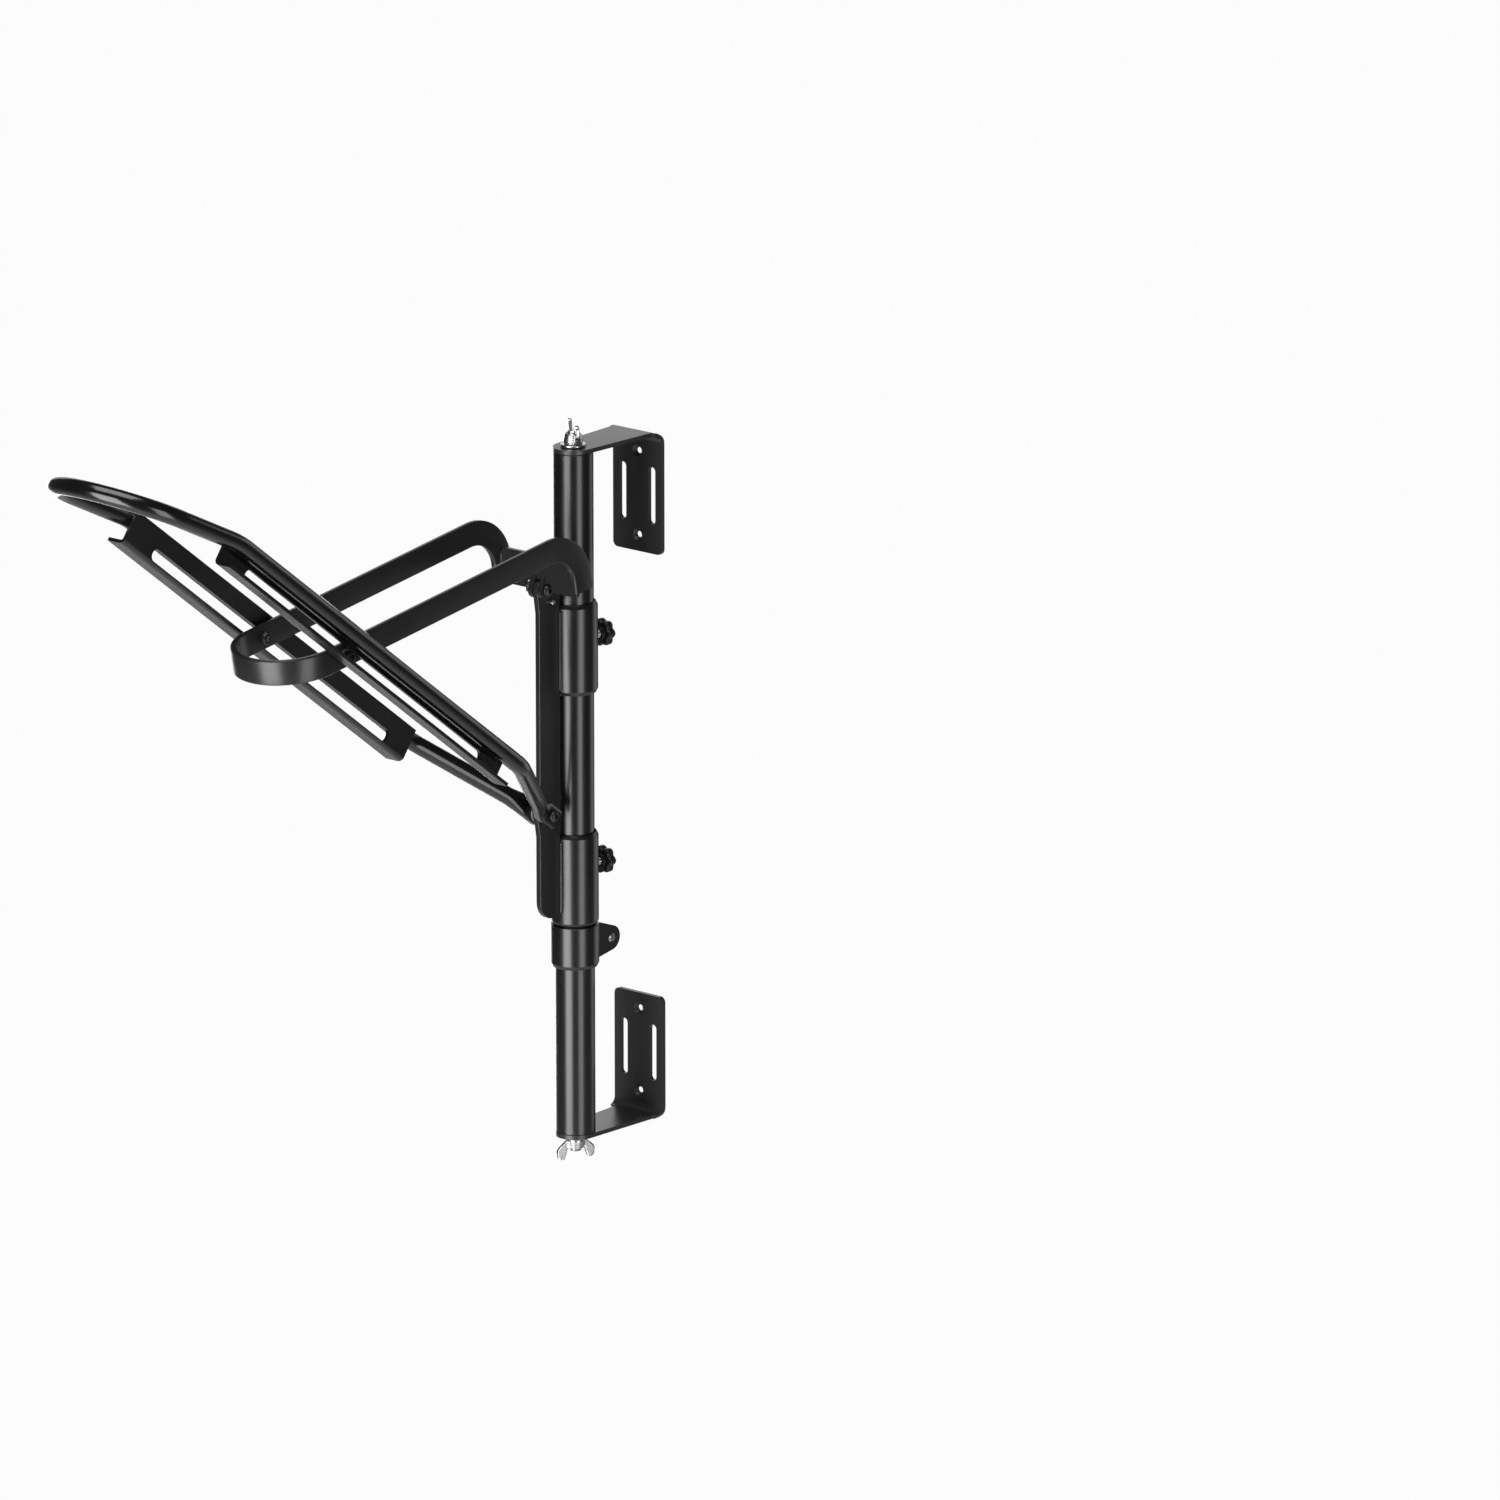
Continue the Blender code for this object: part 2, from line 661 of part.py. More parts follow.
def build_clamp(stop):
    """Split stop collar, its cross screw and its knob."""
    chamfer = COLLAR_CHAMFER
    body = [
        (CLAMP_RADIUS - chamfer, -CLAMP_LENGTH),
        (CLAMP_RADIUS, -CLAMP_LENGTH + COLLAR_CHAMFER_HEIGHT),
        (CLAMP_RADIUS, -chamfer / 2),
        (CLAMP_RADIUS - chamfer / 2, 0.0),
    ]
    collar = add_part("clamp_collar", revolve("z", body, ROUND_SIDES), POWDER_BLACK, stop)
    ear_face = CLAMP_SLIT / 2 + CLAMP_EAR_THICKNESS
    join(collar, prism("x", clamp_ear_outline(), -ear_face, ear_face))
    bore = POLE_RADIUS + SLIDE_GAP
    cut(collar, revolve("z", [(bore, -CLAMP_LENGTH - 1.0), (bore, 1.0)], ROUND_SIDES))
    slit = [(0.0, -CLAMP_LENGTH - 2.0), (60.0, -CLAMP_LENGTH - 2.0), (60.0, 2.0), (0.0, 2.0)]
    cut(collar, prism("x", slit, -CLAMP_SLIT / 2, CLAMP_SLIT / 2))
    hole = revolve("x", [(CLAMP_SCREW_RADIUS + TURN_GAP, -30.0), (CLAMP_SCREW_RADIUS + TURN_GAP, 30.0)])
    cut(collar, shifted(hole, y=CLAMP_EAR_REACH, z=-CLAMP_EAR_DROP))

    place = (0.0, CLAMP_EAR_REACH, -CLAMP_EAR_DROP)
    head = ear_face + SEAT_GAP
    tip = -head - CLAMP_KNOB_NECK - CLAMP_KNOB_HEAD / 2
    free_end = ear_face + CLAMP_SCREW_PROUD
    screw = [
        (CLAMP_SCREW_RADIUS, tip),
        (CLAMP_SCREW_RADIUS, free_end - 0.6),
        (CLAMP_SCREW_RADIUS - 0.6, free_end),
    ]
    add_part("clamp_screw", revolve("x", screw), BRIGHT_ZINC, stop, place)

    neck_end = -head - CLAMP_KNOB_NECK
    end = neck_end - CLAMP_KNOB_HEAD
    bore = CLAMP_SCREW_RADIUS + TURN_GAP
    knob = [
        (CLAMP_KNOB_RADIUS - 4.0, end),
        (CLAMP_KNOB_RADIUS - 1.2, end + 0.6),
        (CLAMP_KNOB_RADIUS, end + 2.0),
        (CLAMP_KNOB_RADIUS, neck_end - 1.6),
        (CLAMP_KNOB_RADIUS - 1.0, neck_end - 0.4),
        (CLAMP_KNOB_RADIUS - 4.6, neck_end + 0.6),
        (5.2, neck_end + 3.0),
        (5.0, -head - 0.3),
        (bore, -head - 0.3),
        (bore, tip - 0.5),
    ]
    add_part("clamp_knob", revolve("x", knob, ROUND_SIDES), KNOB_BLACK, stop, place)


def socket_shape(axis, face, depth=BOLT_SOCKET_DEPTH, direction=1.0):
    """Hexagonal socket sunk in a head's outer face; direction is the way the face looks."""
    ends = sorted((face - direction * depth, face + direction * 1.0))
    return prism(axis, hexagon(BOLT_SOCKET_FLATS, SOCKET_SIDES), ends[0], ends[1])


# Sleeve


def ring_shape(radius, bore, length, chamfer, chamfer_height):
    """Plain ring that hangs down from its top face, chamfered at both ends."""
    profile = [
        (radius - chamfer, 0.0),
        (radius, -chamfer_height),
        (radius, -length + chamfer_height),
        (radius - chamfer, -length),
        (bore, -length),
        (bore, 0.0),
    ]
    return revolve("z", profile, ROUND_SIDES, closed=True)


def star_outline(scale):
    """Outline of the star knob, its lobes rounder than its valleys."""
    steps = STAR_LOBES * STAR_STEPS
    outline = []
    for i in range(steps):
        turn = 2 * math.pi * i / steps
        lobe = 0.5 + 0.5 * math.cos(STAR_LOBES * turn)
        radius = scale * (STAR_RADIUS - STAR_LOBE_DEPTH * (1.0 - math.sqrt(lobe)))
        outline.append((radius * math.cos(turn), radius * math.sin(turn)))
    return outline


def star_shape():
    """Knob lofted from a round hub through the lobed grip to a shallow dome, along +Y."""
    steps = STAR_LOBES * STAR_STEPS
    hub = circle(STAR_RADIUS / 2, steps)
    sections = [
        (hub, 0.0),
        (hub, 1.6),
        (star_outline(0.86), 2.0),
        (star_outline(1.0), 3.2),
        (star_outline(1.0), STAR_THICKNESS - 1.4),
        (star_outline(0.93), STAR_THICKNESS - 0.4),
        (circle(STAR_RADIUS * 0.42, steps), STAR_THICKNESS),
    ]
    return skin([[(u, w, v) for u, v in outline] for outline, w in sections])


def build_star(side, sleeve, drop):
    """Star knob and the stud that it drives against the pole."""
    axis = add_axis(f"{side}_star_axis", sleeve, (0.0, STAR_REACH, -drop))
    knob = add_part(f"{side}_star_knob", star_shape(), KNOB_BLACK, axis)
    bore = STAR_STUD_RADIUS + TURN_GAP
    cut(knob, revolve("y", [(bore, -1.0), (bore, STAR_THICKNESS - 2.5)]))
    start = POLE_RADIUS + SEAT_GAP - STAR_REACH
    end = STAR_THICKNESS - 2.8
    stud = [(STAR_STUD_RADIUS - 0.8, start), (STAR_STUD_RADIUS, start + 0.8), (STAR_STUD_RADIUS, end)]
    add_part(f"{side}_knob_stud", revolve("y", stud), BRIGHT_ZINC, axis)


def build_sleeve(sleeve):
    """Two collars with their bushings and star knobs."""
    lower_top = -UPPER_COLLAR_LENGTH - COLLAR_SPACING
    stud_hole = revolve("y", [(STAR_STUD_RADIUS + SEAT_GAP, 0.0), (STAR_STUD_RADIUS + SEAT_GAP, 40.0)])
    lower_bushing_top = -LOWER_COLLAR_LENGTH + BUSHING_LENGTH + BUSHING_INSET
    collars = [
        ("upper", 0.0, UPPER_COLLAR_LENGTH, UPPER_STAR_DROP, -BUSHING_INSET),
        ("lower", lower_top, LOWER_COLLAR_LENGTH, LOWER_STAR_DROP, lower_bushing_top),
    ]
    for side, top, length, drop, bushing_top in collars:
        ring = ring_shape(COLLAR_RADIUS, COLLAR_BORE, length, COLLAR_CHAMFER, COLLAR_CHAMFER_HEIGHT)
        collar = add_part(f"{side}_collar", ring, POWDER_BLACK, sleeve, (0.0, 0.0, top))
        cut(collar, shifted(stud_hole, z=-drop))
        bushing = ring_shape(COLLAR_BORE - TURN_GAP, POLE_RADIUS + TURN_GAP, BUSHING_LENGTH, 0.3, 0.3)
        add_part(f"{side}_bushing", bushing, BUSHING_GREY, sleeve, (0.0, 0.0, top + bushing_top))
        build_star(side, sleeve, drop - top)


# Hinge rib


def rib_outline():
    """Side view in (reach, height above the sleeve's top): an ear for each pivot on one long strip."""
    bow = (BOW_PIVOT_REACH, BOW_PIVOT_RISE)
    frame = (FRAME_PIVOT_REACH, -FRAME_PIVOT_DROP)
    foot = RIB_RISE - RIB_LENGTH
    top_meets_ear = 180.0 + math.degrees(math.asin((BOW_PIVOT_RISE - RIB_RISE) / EAR_RADIUS))
    taper_foot = (RIB_FRONT, BOW_PIVOT_RISE - EAR_TAPER)
    above = (RIB_FRONT, -FRAME_PIVOT_DROP + EAR_TAPER)
    below = (RIB_FRONT, -FRAME_PIVOT_DROP - EAR_TAPER)
    outline = [(RIB_BACK, RIB_RISE)]
    outline += arc(bow, EAR_RADIUS, top_meets_ear, tangent_angle(bow, EAR_RADIUS, taper_foot, 1.0))
    outline += [taper_foot, above]
    high = tangent_angle(frame, EAR_RADIUS, above, -1.0)
    low = tangent_angle(frame, EAR_RADIUS, below, 1.0)
    outline += arc(frame, EAR_RADIUS, high, low) + [below]
    outline += arc((RIB_FRONT - RIB_CORNER, foot + RIB_CORNER), RIB_CORNER, 0.0, -90.0) + [(RIB_BACK, foot)]
    return [(-reach, height) for reach, height in outline]


def rib_hole(reach, height, radius):
    """Cross hole through the rib, placed from the sleeve's top."""
    hole = revolve("x", [(radius, -RIB_THICKNESS), (radius, RIB_THICKNESS)])
    return shifted(hole, y=-reach, z=height)


def build_rib(sleeve):
    """The plate that carries both hinges, and its cross pin."""
    half = RIB_THICKNESS / 2
    rib = add_part("hinge_rib", prism("x", rib_outline(), -half, half), SATIN_GREY, sleeve)
    cut(rib, rib_hole(BOW_PIVOT_REACH, BOW_PIVOT_RISE, BOW_PIVOT_RADIUS + TURN_GAP))
    cut(rib, rib_hole(FRAME_PIVOT_REACH, -FRAME_PIVOT_DROP, FRAME_PIVOT_RADIUS + TURN_GAP))
    cut(rib, rib_hole(RIB_FRONT - RIB_PIN_INSET, RIB_PIN_RISE, RIB_PIN_RADIUS + TURN_GAP))
    end = RIB_PIN_LENGTH / 2
    pin = [
        (RIB_PIN_RADIUS - 0.5, -end),
        (RIB_PIN_RADIUS, -end + 0.5),
        (RIB_PIN_RADIUS, end - 0.5),
        (RIB_PIN_RADIUS - 0.5, end),
    ]
    place = (0.0, RIB_PIN_INSET - RIB_FRONT, RIB_PIN_RISE)
    add_part("rib_pin", revolve("x", pin), BRIGHT_ZINC, sleeve, place)


def add_pivot(side, parent, place, radius, face):
    """Cross bolt with a button head on +X and a hexagon nut on -X, both against faces at the given reach."""
    seat = face + SEAT_GAP
    end = seat + PIVOT_HEAD_HEIGHT
    head_radius = BOLT_HEAD_RADIUS * radius / BOW_PIVOT_RADIUS
    tip = -seat - NUT_HEIGHT - BOLT_OVERHANG
    profile = [
        (radius - 0.6, tip),
        (radius, tip + 0.6),
        (radius, seat),
        (head_radius, seat),
        (head_radius, seat + 0.9),
        (head_radius * 0.85, seat + 2.0),
        (head_radius * 0.6, end),
    ]
    bolt = add_part(f"{side}_pivot_bolt", revolve("x", profile), BRIGHT_ZINC, parent, place)
    cut(bolt, socket_shape("x", end))
    flats = NUT_FLATS * radius / BOW_PIVOT_RADIUS
    nut = pierced("x", hexagon(flats), radius + TURN_GAP, -seat - NUT_HEIGHT, -seat)
    add_part(f"{side}_pivot_nut", nut, BRIGHT_ZINC, parent, place)


# Cradle frame


def filleted_path(corners, step=ARC_STEP):
    """Centre line through (point, bend radius) corners, with each bend as an arc."""
    path = [Vector(corners[0][0])]
    for i in range(1, len(corners) - 1):
        here = Vector(corners[i][0])
        radius = corners[i][1]
        before = (Vector(corners[i - 1][0]) - here).normalized()
        after = (Vector(corners[i + 1][0]) - here).normalized()
        half = before.angle(after) / 2
        centre = here + (before + after).normalized() * radius / math.sin(half)
        start = here + before * radius / math.tan(half) - centre
        end = here + after * radius / math.tan(half) - centre
        sweep = math.pi - 2 * half
        count = max(2, math.ceil(math.degrees(sweep) / step))
        for k in range(count + 1):
            share = k / count
            weight = math.sin((1.0 - share) * sweep), math.sin(share * sweep)
            point = centre + (start * weight[0] + end * weight[1]) / math.sin(sweep)
            if (point - path[-1]).length > 0.01:
                path.append(point)
    path.append(Vector(corners[-1][0]))
    return path


def tangents_of(path):
    """Unit direction at each point of a path."""
    last = len(path) - 1
    return [(path[min(i + 1, last)] - path[max(i - 1, 0)]).normalized() for i in range(last + 1)]


def frame_corners():
    """One side of the loop in (x, y, z), from its hinge tongue to the nose's corner."""
    knee = math.radians(FRAME_KNEE_DROP)
    nose_y = -FRAME_KNEE - FRAME_NOSE_LENGTH * math.cos(knee)
    nose_z = -FRAME_NOSE_LENGTH * math.sin(knee)
    return [
        ((FRAME_END_CENTRE, FRAME_TAIL, 0.0), 0.0),
        ((FRAME_END_CENTRE, -FRAME_TONGUE, 0.0), FRAME_TONGUE_BEND),
        ((FRAME_HALF_GAUGE, -FRAME_TAPER_END, 0.0), FRAME_TAPER_BEND),
        ((FRAME_HALF_GAUGE, -FRAME_KNEE, 0.0), FRAME_KNEE_BEND),
        ((FRAME_HALF_GAUGE, nose_y, nose_z), FRAME_HALF_GAUGE),
    ]


def tongue_limits():
    """Distances from the tube's end between which its section changes from flat to round."""
    flat_until = FRAME_TAIL + FRAME_TONGUE * 0.6
    return flat_until, flat_until + 1.4 * tongue_width()


def tongue_share(distance):
    """How far the tube is flattened at a distance along it from its end: 1 at the tongue, 0 when round."""
    flat_until, round_from = tongue_limits()
    share = min(1.0, max(0.0, (distance - flat_until) / (round_from - flat_until)))
    return 1.0 - share * share * (3.0 - 2.0 * share)


def frame_section(share, inset):
    """Half thickness, half width and squareness of the tube's section, inset by its wall for the bore."""
    thick = FRAME_TUBE_RADIUS + (FRAME_TONGUE_THICKNESS / 2 - FRAME_TUBE_RADIUS) * share - inset
    wide = FRAME_TUBE_RADIUS + (tongue_width() / 2 - FRAME_TUBE_RADIUS) * share - inset
    return thick, wide, 1.0 - 0.5 * share


def section_ring(point, tangent, section):
    """Ring of points about a path, flattened across the frame's own plane normal."""
    up = Vector((0.0, 0.0, 1.0))
    up = (up - tangent * up.dot(tangent)).normalized()
    across = tangent.cross(up)
    thick, wide, power = section
    ring = []
    for i in range(TUBE_SIDES):
        turn = 2 * math.pi * (i + 0.5) / TUBE_SIDES
        c = math.cos(turn)
        s = math.sin(turn)
        side = math.copysign(abs(c) ** power, c) * thick
        rise = math.copysign(abs(s) ** power, s) * wide
        ring.append(point + across * side + up * rise)
    return ring


def spread(path):
    """Path with extra points, so that short steps carry the change from flat to round."""
    reach = tongue_limits()[1]
    dense = [path[0]]
    travelled = 0.0
    for point in path[1:]:
        start = dense[-1]
        length = (point - start).length
        count = max(1, math.ceil(length / TAPER_STEP)) if travelled < reach else 1
        dense += [start.lerp(point, (k + 1) / count) for k in range(count)]
        travelled += length
    return dense


def frame_path():
    """Whole centre line of the loop and the flattening at each of its points."""
    corners = frame_corners()
    mirrored = [((-x, y, z), bend) for (x, y, z), bend in reversed(corners)]
    path = filleted_path(corners + mirrored)
    middle = min(range(len(path)), key=lambda i: path[i].y)
    first = spread(path[: middle + 1])
    second = spread(path[middle:][::-1])[::-1]
    distances = [0.0]
    for i in range(1, len(first)):
        distances.append(distances[-1] + (first[i] - first[i - 1]).length)
    back = [0.0]
    for i in range(len(second) - 1, 0, -1):
        back.append(back[-1] + (second[i] - second[i - 1]).length)
    shares = [tongue_share(d) for d in distances] + [tongue_share(d) for d in back[::-1]][1:]
    return first + second[1:], shares


def build_frame_loop(frame):
    """One bent tube with flattened tongues at the hinge."""
    path, shares = frame_path()
    tangents = tangents_of(path)
    stations = list(zip(path, tangents, shares))
    outer = [section_ring(p, t, frame_section(share, 0.0)) for p, t, share in stations]
    inner = [section_ring(p, t, frame_section(share, FRAME_TUBE_WALL)) for p, t, share in stations]
    loop = add_part("frame_loop", hollow(outer, inner), GLOSS_BLACK, frame)
    bore = FRAME_PIVOT_RADIUS + TURN_GAP
    cut(loop, revolve("x", [(bore, -20.0), (bore, 20.0)]))


def rail_section(side):
    """Rail in (x, z): an upright web whose foot bends outwards to a lip."""
    outer_bend = RAIL_BEND + RAIL_SHEET
    inner = RAIL_INNER_FACE
    corner = (inner + outer_bend, -RAIL_BOTTOM + outer_bend)
    lip_end = RAIL_OUTER_FACE + RAIL_LIP
    outline = [(inner, RAIL_TOP)] + arc(corner, outer_bend, 180.0, 270.0, 15.0)
    outline += [(lip_end, -RAIL_BOTTOM), (lip_end, -RAIL_BOTTOM + RAIL_SHEET)]
    outline += arc(corner, RAIL_BEND, 270.0, 180.0, 15.0) + [(RAIL_OUTER_FACE, RAIL_TOP)]
    return [(side * x, z) for x, z in outline]


def build_rail(name, frame, side):
    """Slotted rail along the tube's inner side."""
    start = rail_start()
    rail = add_part(name, prism("y", rail_section(side), -RAIL_END, -start), POWDER_BLACK, frame)
    slot_start = start + RAIL_SLOT_INNER_MARGIN
    slot_end = RAIL_END - RAIL_SLOT_OUTER_MARGIN
    centre = (-(slot_start + slot_end) / 2, -RAIL_SLOT_DROP)
    slot = stadium(slot_end - slot_start, RAIL_SLOT_WIDTH, centre, upright=False)
    reach = sorted((side * (RAIL_INNER_FACE - 2.0), side * (RAIL_OUTER_FACE + 2.0)))
    cut(rail, prism("x", slot, reach[0], reach[1]))


def build_cradle_frame(frame):
    """Loop and rails."""
    build_frame_loop(frame)
    build_rail("left_rail", frame, -1.0)
    build_rail("right_rail", frame, 1.0)


# Bow


def bow_stations():
    """Centre, outward side and upper side of the bar, from the right hook round to the left one."""
    centre = Vector((BOW_HALF_GAUGE, -BOW_HOOK_REACH, BOW_LEG_RISE - BOW_HOOK_RADIUS))
    outward = Vector((1.0, 0.0, 0.0))
    half = []
    end_turn = math.radians(BOW_HOOK_TURN)
    end_radial = Vector((0.0, math.sin(end_turn), math.cos(end_turn)))
    end_run = Vector((0.0, math.cos(end_turn), -math.sin(end_turn)))
    half.append((centre + end_radial * BOW_HOOK_RADIUS + end_run * BOW_TAIL, outward, end_radial))
    steps = math.ceil(BOW_HOOK_TURN / ARC_STEP)
    for k in range(steps + 1):
        turn = end_turn * (1.0 - k / steps)
        radial = Vector((0.0, math.sin(turn), math.cos(turn)))
        half.append((centre + radial * BOW_HOOK_RADIUS, outward, radial))
    up = Vector((0.0, 0.0, 1.0))
    hub = Vector((0.0, -BOW_BOLT_REACH - BOW_BEND_LEAD, BOW_LEG_RISE))
    steps = math.ceil(90.0 / ARC_STEP)
    for k in range(steps):
        turn = math.radians(-90.0 * k / steps)
        side = Vector((math.cos(turn), math.sin(turn), 0.0))
        half.append((hub + side * BOW_HALF_GAUGE, side, up))
    flip = Vector((-1.0, 1.0, 1.0))
    mirrored = [(p * flip, o * flip, u) for p, o, u in reversed(half)]
    apex = (hub + Vector((0.0, -BOW_HALF_GAUGE, 0.0)), Vector((0.0, -1.0, 0.0)), up)
    return half + [apex] + mirrored


def bar_section():
    """Flat bar with eased edges, as (outward, upward) points."""
    t = BOW_THICKNESS / 2
    h = BOW_HEIGHT / 2
    return rounded([(t, h, BOW_EDGE), (-t, h, BOW_EDGE), (-t, -h, BOW_EDGE), (t, -h, BOW_EDGE)], 45.0)


def build_bow(bow):
    """One flat bar bent to a U, its two ends hooked down edgeways."""
    section = bar_section()
    rings = [[p + o * a + u * b for a, b in section] for p, o, u in bow_stations()]
    bar = add_part("bow", skin(rings), SATIN_GREY, bow)
    hole = SLOT_BOLT_RADIUS + SEAT_GAP
    reach = BOW_OUTER_FACE + 3.0
    drill = revolve("x", [(hole, -reach), (hole, reach)])
    cut(bar, shifted(drill, y=-BOW_BOLT_REACH, z=BOW_LEG_RISE))


def knuckle_outline():
    """Ear round the pivot that rises into the cross plate, in (y, z)."""
    web = CROSS_PLATE_THICKNESS / 2 - 0.3
    rise = EAR_RADIUS + NOTCH_CLEARANCE + 4.0
    return arc((0.0, 0.0), KNUCKLE_RADIUS, 180.0, 360.0, 15.0) + [(web, rise), (-web, rise)]


def build_cross_plate(bow):
    """Plate between the hooks, upright at rest, with a knuckle either side of a notch for the rib's ear."""
    half = BOW_INNER_FACE - SEAT_GAP
    thick = CROSS_PLATE_THICKNESS / 2
    top = CROSS_PLATE_HEIGHT - CROSS_PLATE_HEM
    corners = [
        (half, -CROSS_PLATE_HEM, 1.5),
        (half, top, 3.0),
        (-half, top, 3.0),
        (-half, -CROSS_PLATE_HEM, 1.5),
    ]
    plate = prism("y", rounded(corners), -thick, thick)
    part = add_part("cross_plate", plate, SATIN_GREY, bow, turn=(-bow_slope(), 0.0, 0.0))
    inner = RIB_THICKNESS / 2 + SEAT_GAP
    room = inner + KNUCKLE_THICKNESS + NUT_HEIGHT + BOLT_OVERHANG + NOTCH_CLEARANCE
    head_room = NUT_FLATS / math.sqrt(3.0) + SEAT_GAP
    relief = [
        (room, -KNUCKLE_RADIUS, 0.0),
        (room, head_room, 2.0),
        (-room, head_room, 2.0),
        (-room, -KNUCKLE_RADIUS, 0.0),
    ]
    cut(part, prism("y", rounded(relief), -thick - 1.0, thick + 1.0))
    for side in (-1.0, 1.0):
        ends = sorted((side * (inner - 0.5), side * (inner + KNUCKLE_THICKNESS)))
        join(part, prism("x", knuckle_outline(), ends[0], ends[1]))
    depth = EAR_RADIUS + NOTCH_CLEARANCE
    gap = [(inner, -KNUCKLE_RADIUS - 2.0), (inner, depth), (-inner, depth), (-inner, -KNUCKLE_RADIUS - 2.0)]
    cut(part, prism("y", gap, -KNUCKLE_RADIUS - 2.0, KNUCKLE_RADIUS + 2.0))
    hole = BOW_PIVOT_RADIUS + TURN_GAP
    cut(part, revolve("x", [(hole, -12.0), (hole, 12.0)]))


def build_slot_bolt(side_name, bow, side):
    """Bolt that joins one bow leg to its rail's slot, with its washer and nut."""
    place = (0.0, -BOW_BOLT_REACH, BOW_LEG_RISE)
    radius = SLOT_BOLT_RADIUS
    under_head = RAIL_OUTER_FACE + SEAT_GAP
    face = under_head + BOLT_HEAD_HEIGHT
    nut_face = BOW_INNER_FACE - SEAT_GAP
    tip = nut_face - NUT_HEIGHT - BOLT_OVERHANG
    profile = [
        (radius - 0.6, tip),
        (radius, tip + 0.6),
        (radius, under_head),
        (BOLT_HEAD_RADIUS, under_head),
        (BOLT_HEAD_RADIUS, face - 0.5),
        (BOLT_HEAD_RADIUS - 0.5, face),
    ]
    profile = [(r, side * h) for r, h in profile]
    bolt = add_part(f"{side_name}_slot_bolt", revolve("x", profile), BRIGHT_ZINC, bow, place)
    cut(bolt, socket_shape("x", side * face, direction=side))
    washer_face = BOW_OUTER_FACE + SEAT_GAP
    low, high = sorted((side * washer_face, side * (washer_face + SLOT_WASHER_THICKNESS)))
    bore = radius + TURN_GAP
    washer = pierced("x", circle(bore + SLOT_WASHER_RIM, SMALL_SIDES), bore, low, high)
    add_part(f"{side_name}_slot_washer", washer, BUSHING_GREY, bow, place)
    low, high = sorted((side * (nut_face - NUT_HEIGHT), side * nut_face))
    nut = pierced("x", hexagon(NUT_FLATS), bore, low, high)
    add_part(f"{side_name}_slot_nut", nut, BRIGHT_ZINC, bow, place)


def build_bow_group(bow):
    """Bow, cross plate and slot bolts."""
    build_bow(bow)
    build_cross_plate(bow)
    build_slot_bolt("left", bow, -1.0)
    build_slot_bolt("right", bow, 1.0)


# Whole mount


def build_hinges(sleeve):
    """Pivot bolts and spacers, and the two axes that the cradle's halves turn on."""
    bow_place = (0.0, -BOW_PIVOT_REACH, BOW_PIVOT_RISE)
    frame_place = (0.0, -FRAME_PIVOT_REACH, -FRAME_PIVOT_DROP)
    knuckle_face = RIB_THICKNESS / 2 + SEAT_GAP + KNUCKLE_THICKNESS
    add_pivot("bow", sleeve, bow_place, BOW_PIVOT_RADIUS, knuckle_face)
    tongue_face = FRAME_END_CENTRE + FRAME_TONGUE_THICKNESS / 2
    add_pivot("frame", sleeve, frame_place, FRAME_PIVOT_RADIUS, tongue_face)
    low = RIB_THICKNESS / 2 + SEAT_GAP
    bore = FRAME_PIVOT_RADIUS + TURN_GAP
    for name, side in (("left", -1.0), ("right", 1.0)):
        ends = sorted((side * low, side * (low + SPACER_THICKNESS)))
        spacer = pierced("x", circle(bore + SPACER_RIM, SMALL_SIDES), bore, ends[0], ends[1])
        add_part(f"{name}_pivot_spacer", spacer, BUSHING_GREY, sleeve, frame_place)
    frame = add_axis("cradle_fold_axis", sleeve, frame_place, (-FRAME_SLOPE, 0.0, 0.0))
    bow = add_axis("bow_fold_axis", sleeve, bow_place, (bow_slope(), 0.0, 0.0))
    return frame, bow


def main():
    clear_scene()
    build_bracket("top_bracket", 0.0, 0.0)
    build_bracket("bottom_bracket", LOWER_PLATE_CENTRE, 180.0)
    build_pole()
    build_pole_end("top", POLE_TOP, 0.0, TOP_WING_ANGLE)
    build_pole_end("bottom", POLE_BOTTOM, 180.0, BOTTOM_WING_ANGLE)
    clamp_top = POLE_TOP - SLEEVE_DROP - SLEEVE_LENGTH - SEAT_GAP
    stop = add_axis("height_slide_axis", place=(0.0, -ARM_REACH, clamp_top))
    build_clamp(stop)
    sleeve = add_axis("swivel_axis", stop, (0.0, 0.0, SLEEVE_LENGTH + SEAT_GAP))
    build_sleeve(sleeve)
    build_rib(sleeve)
    frame, bow = build_hinges(sleeve)
    build_cradle_frame(frame)
    build_bow_group(bow)


main()
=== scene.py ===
"""Looks of the folding bike wall mount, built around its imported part.

Shapes are made in millimetres in the part's own frame and become pieces in metres. +Z is up, the wall
is towards +Y and the cradle reaches out along -Y.
"""

import logging
import math
from collections.abc import Callable, Mapping, Sequence
from dataclasses import dataclass
from enum import Enum

import bmesh
import bpy
from mathutils import Matrix, Vector


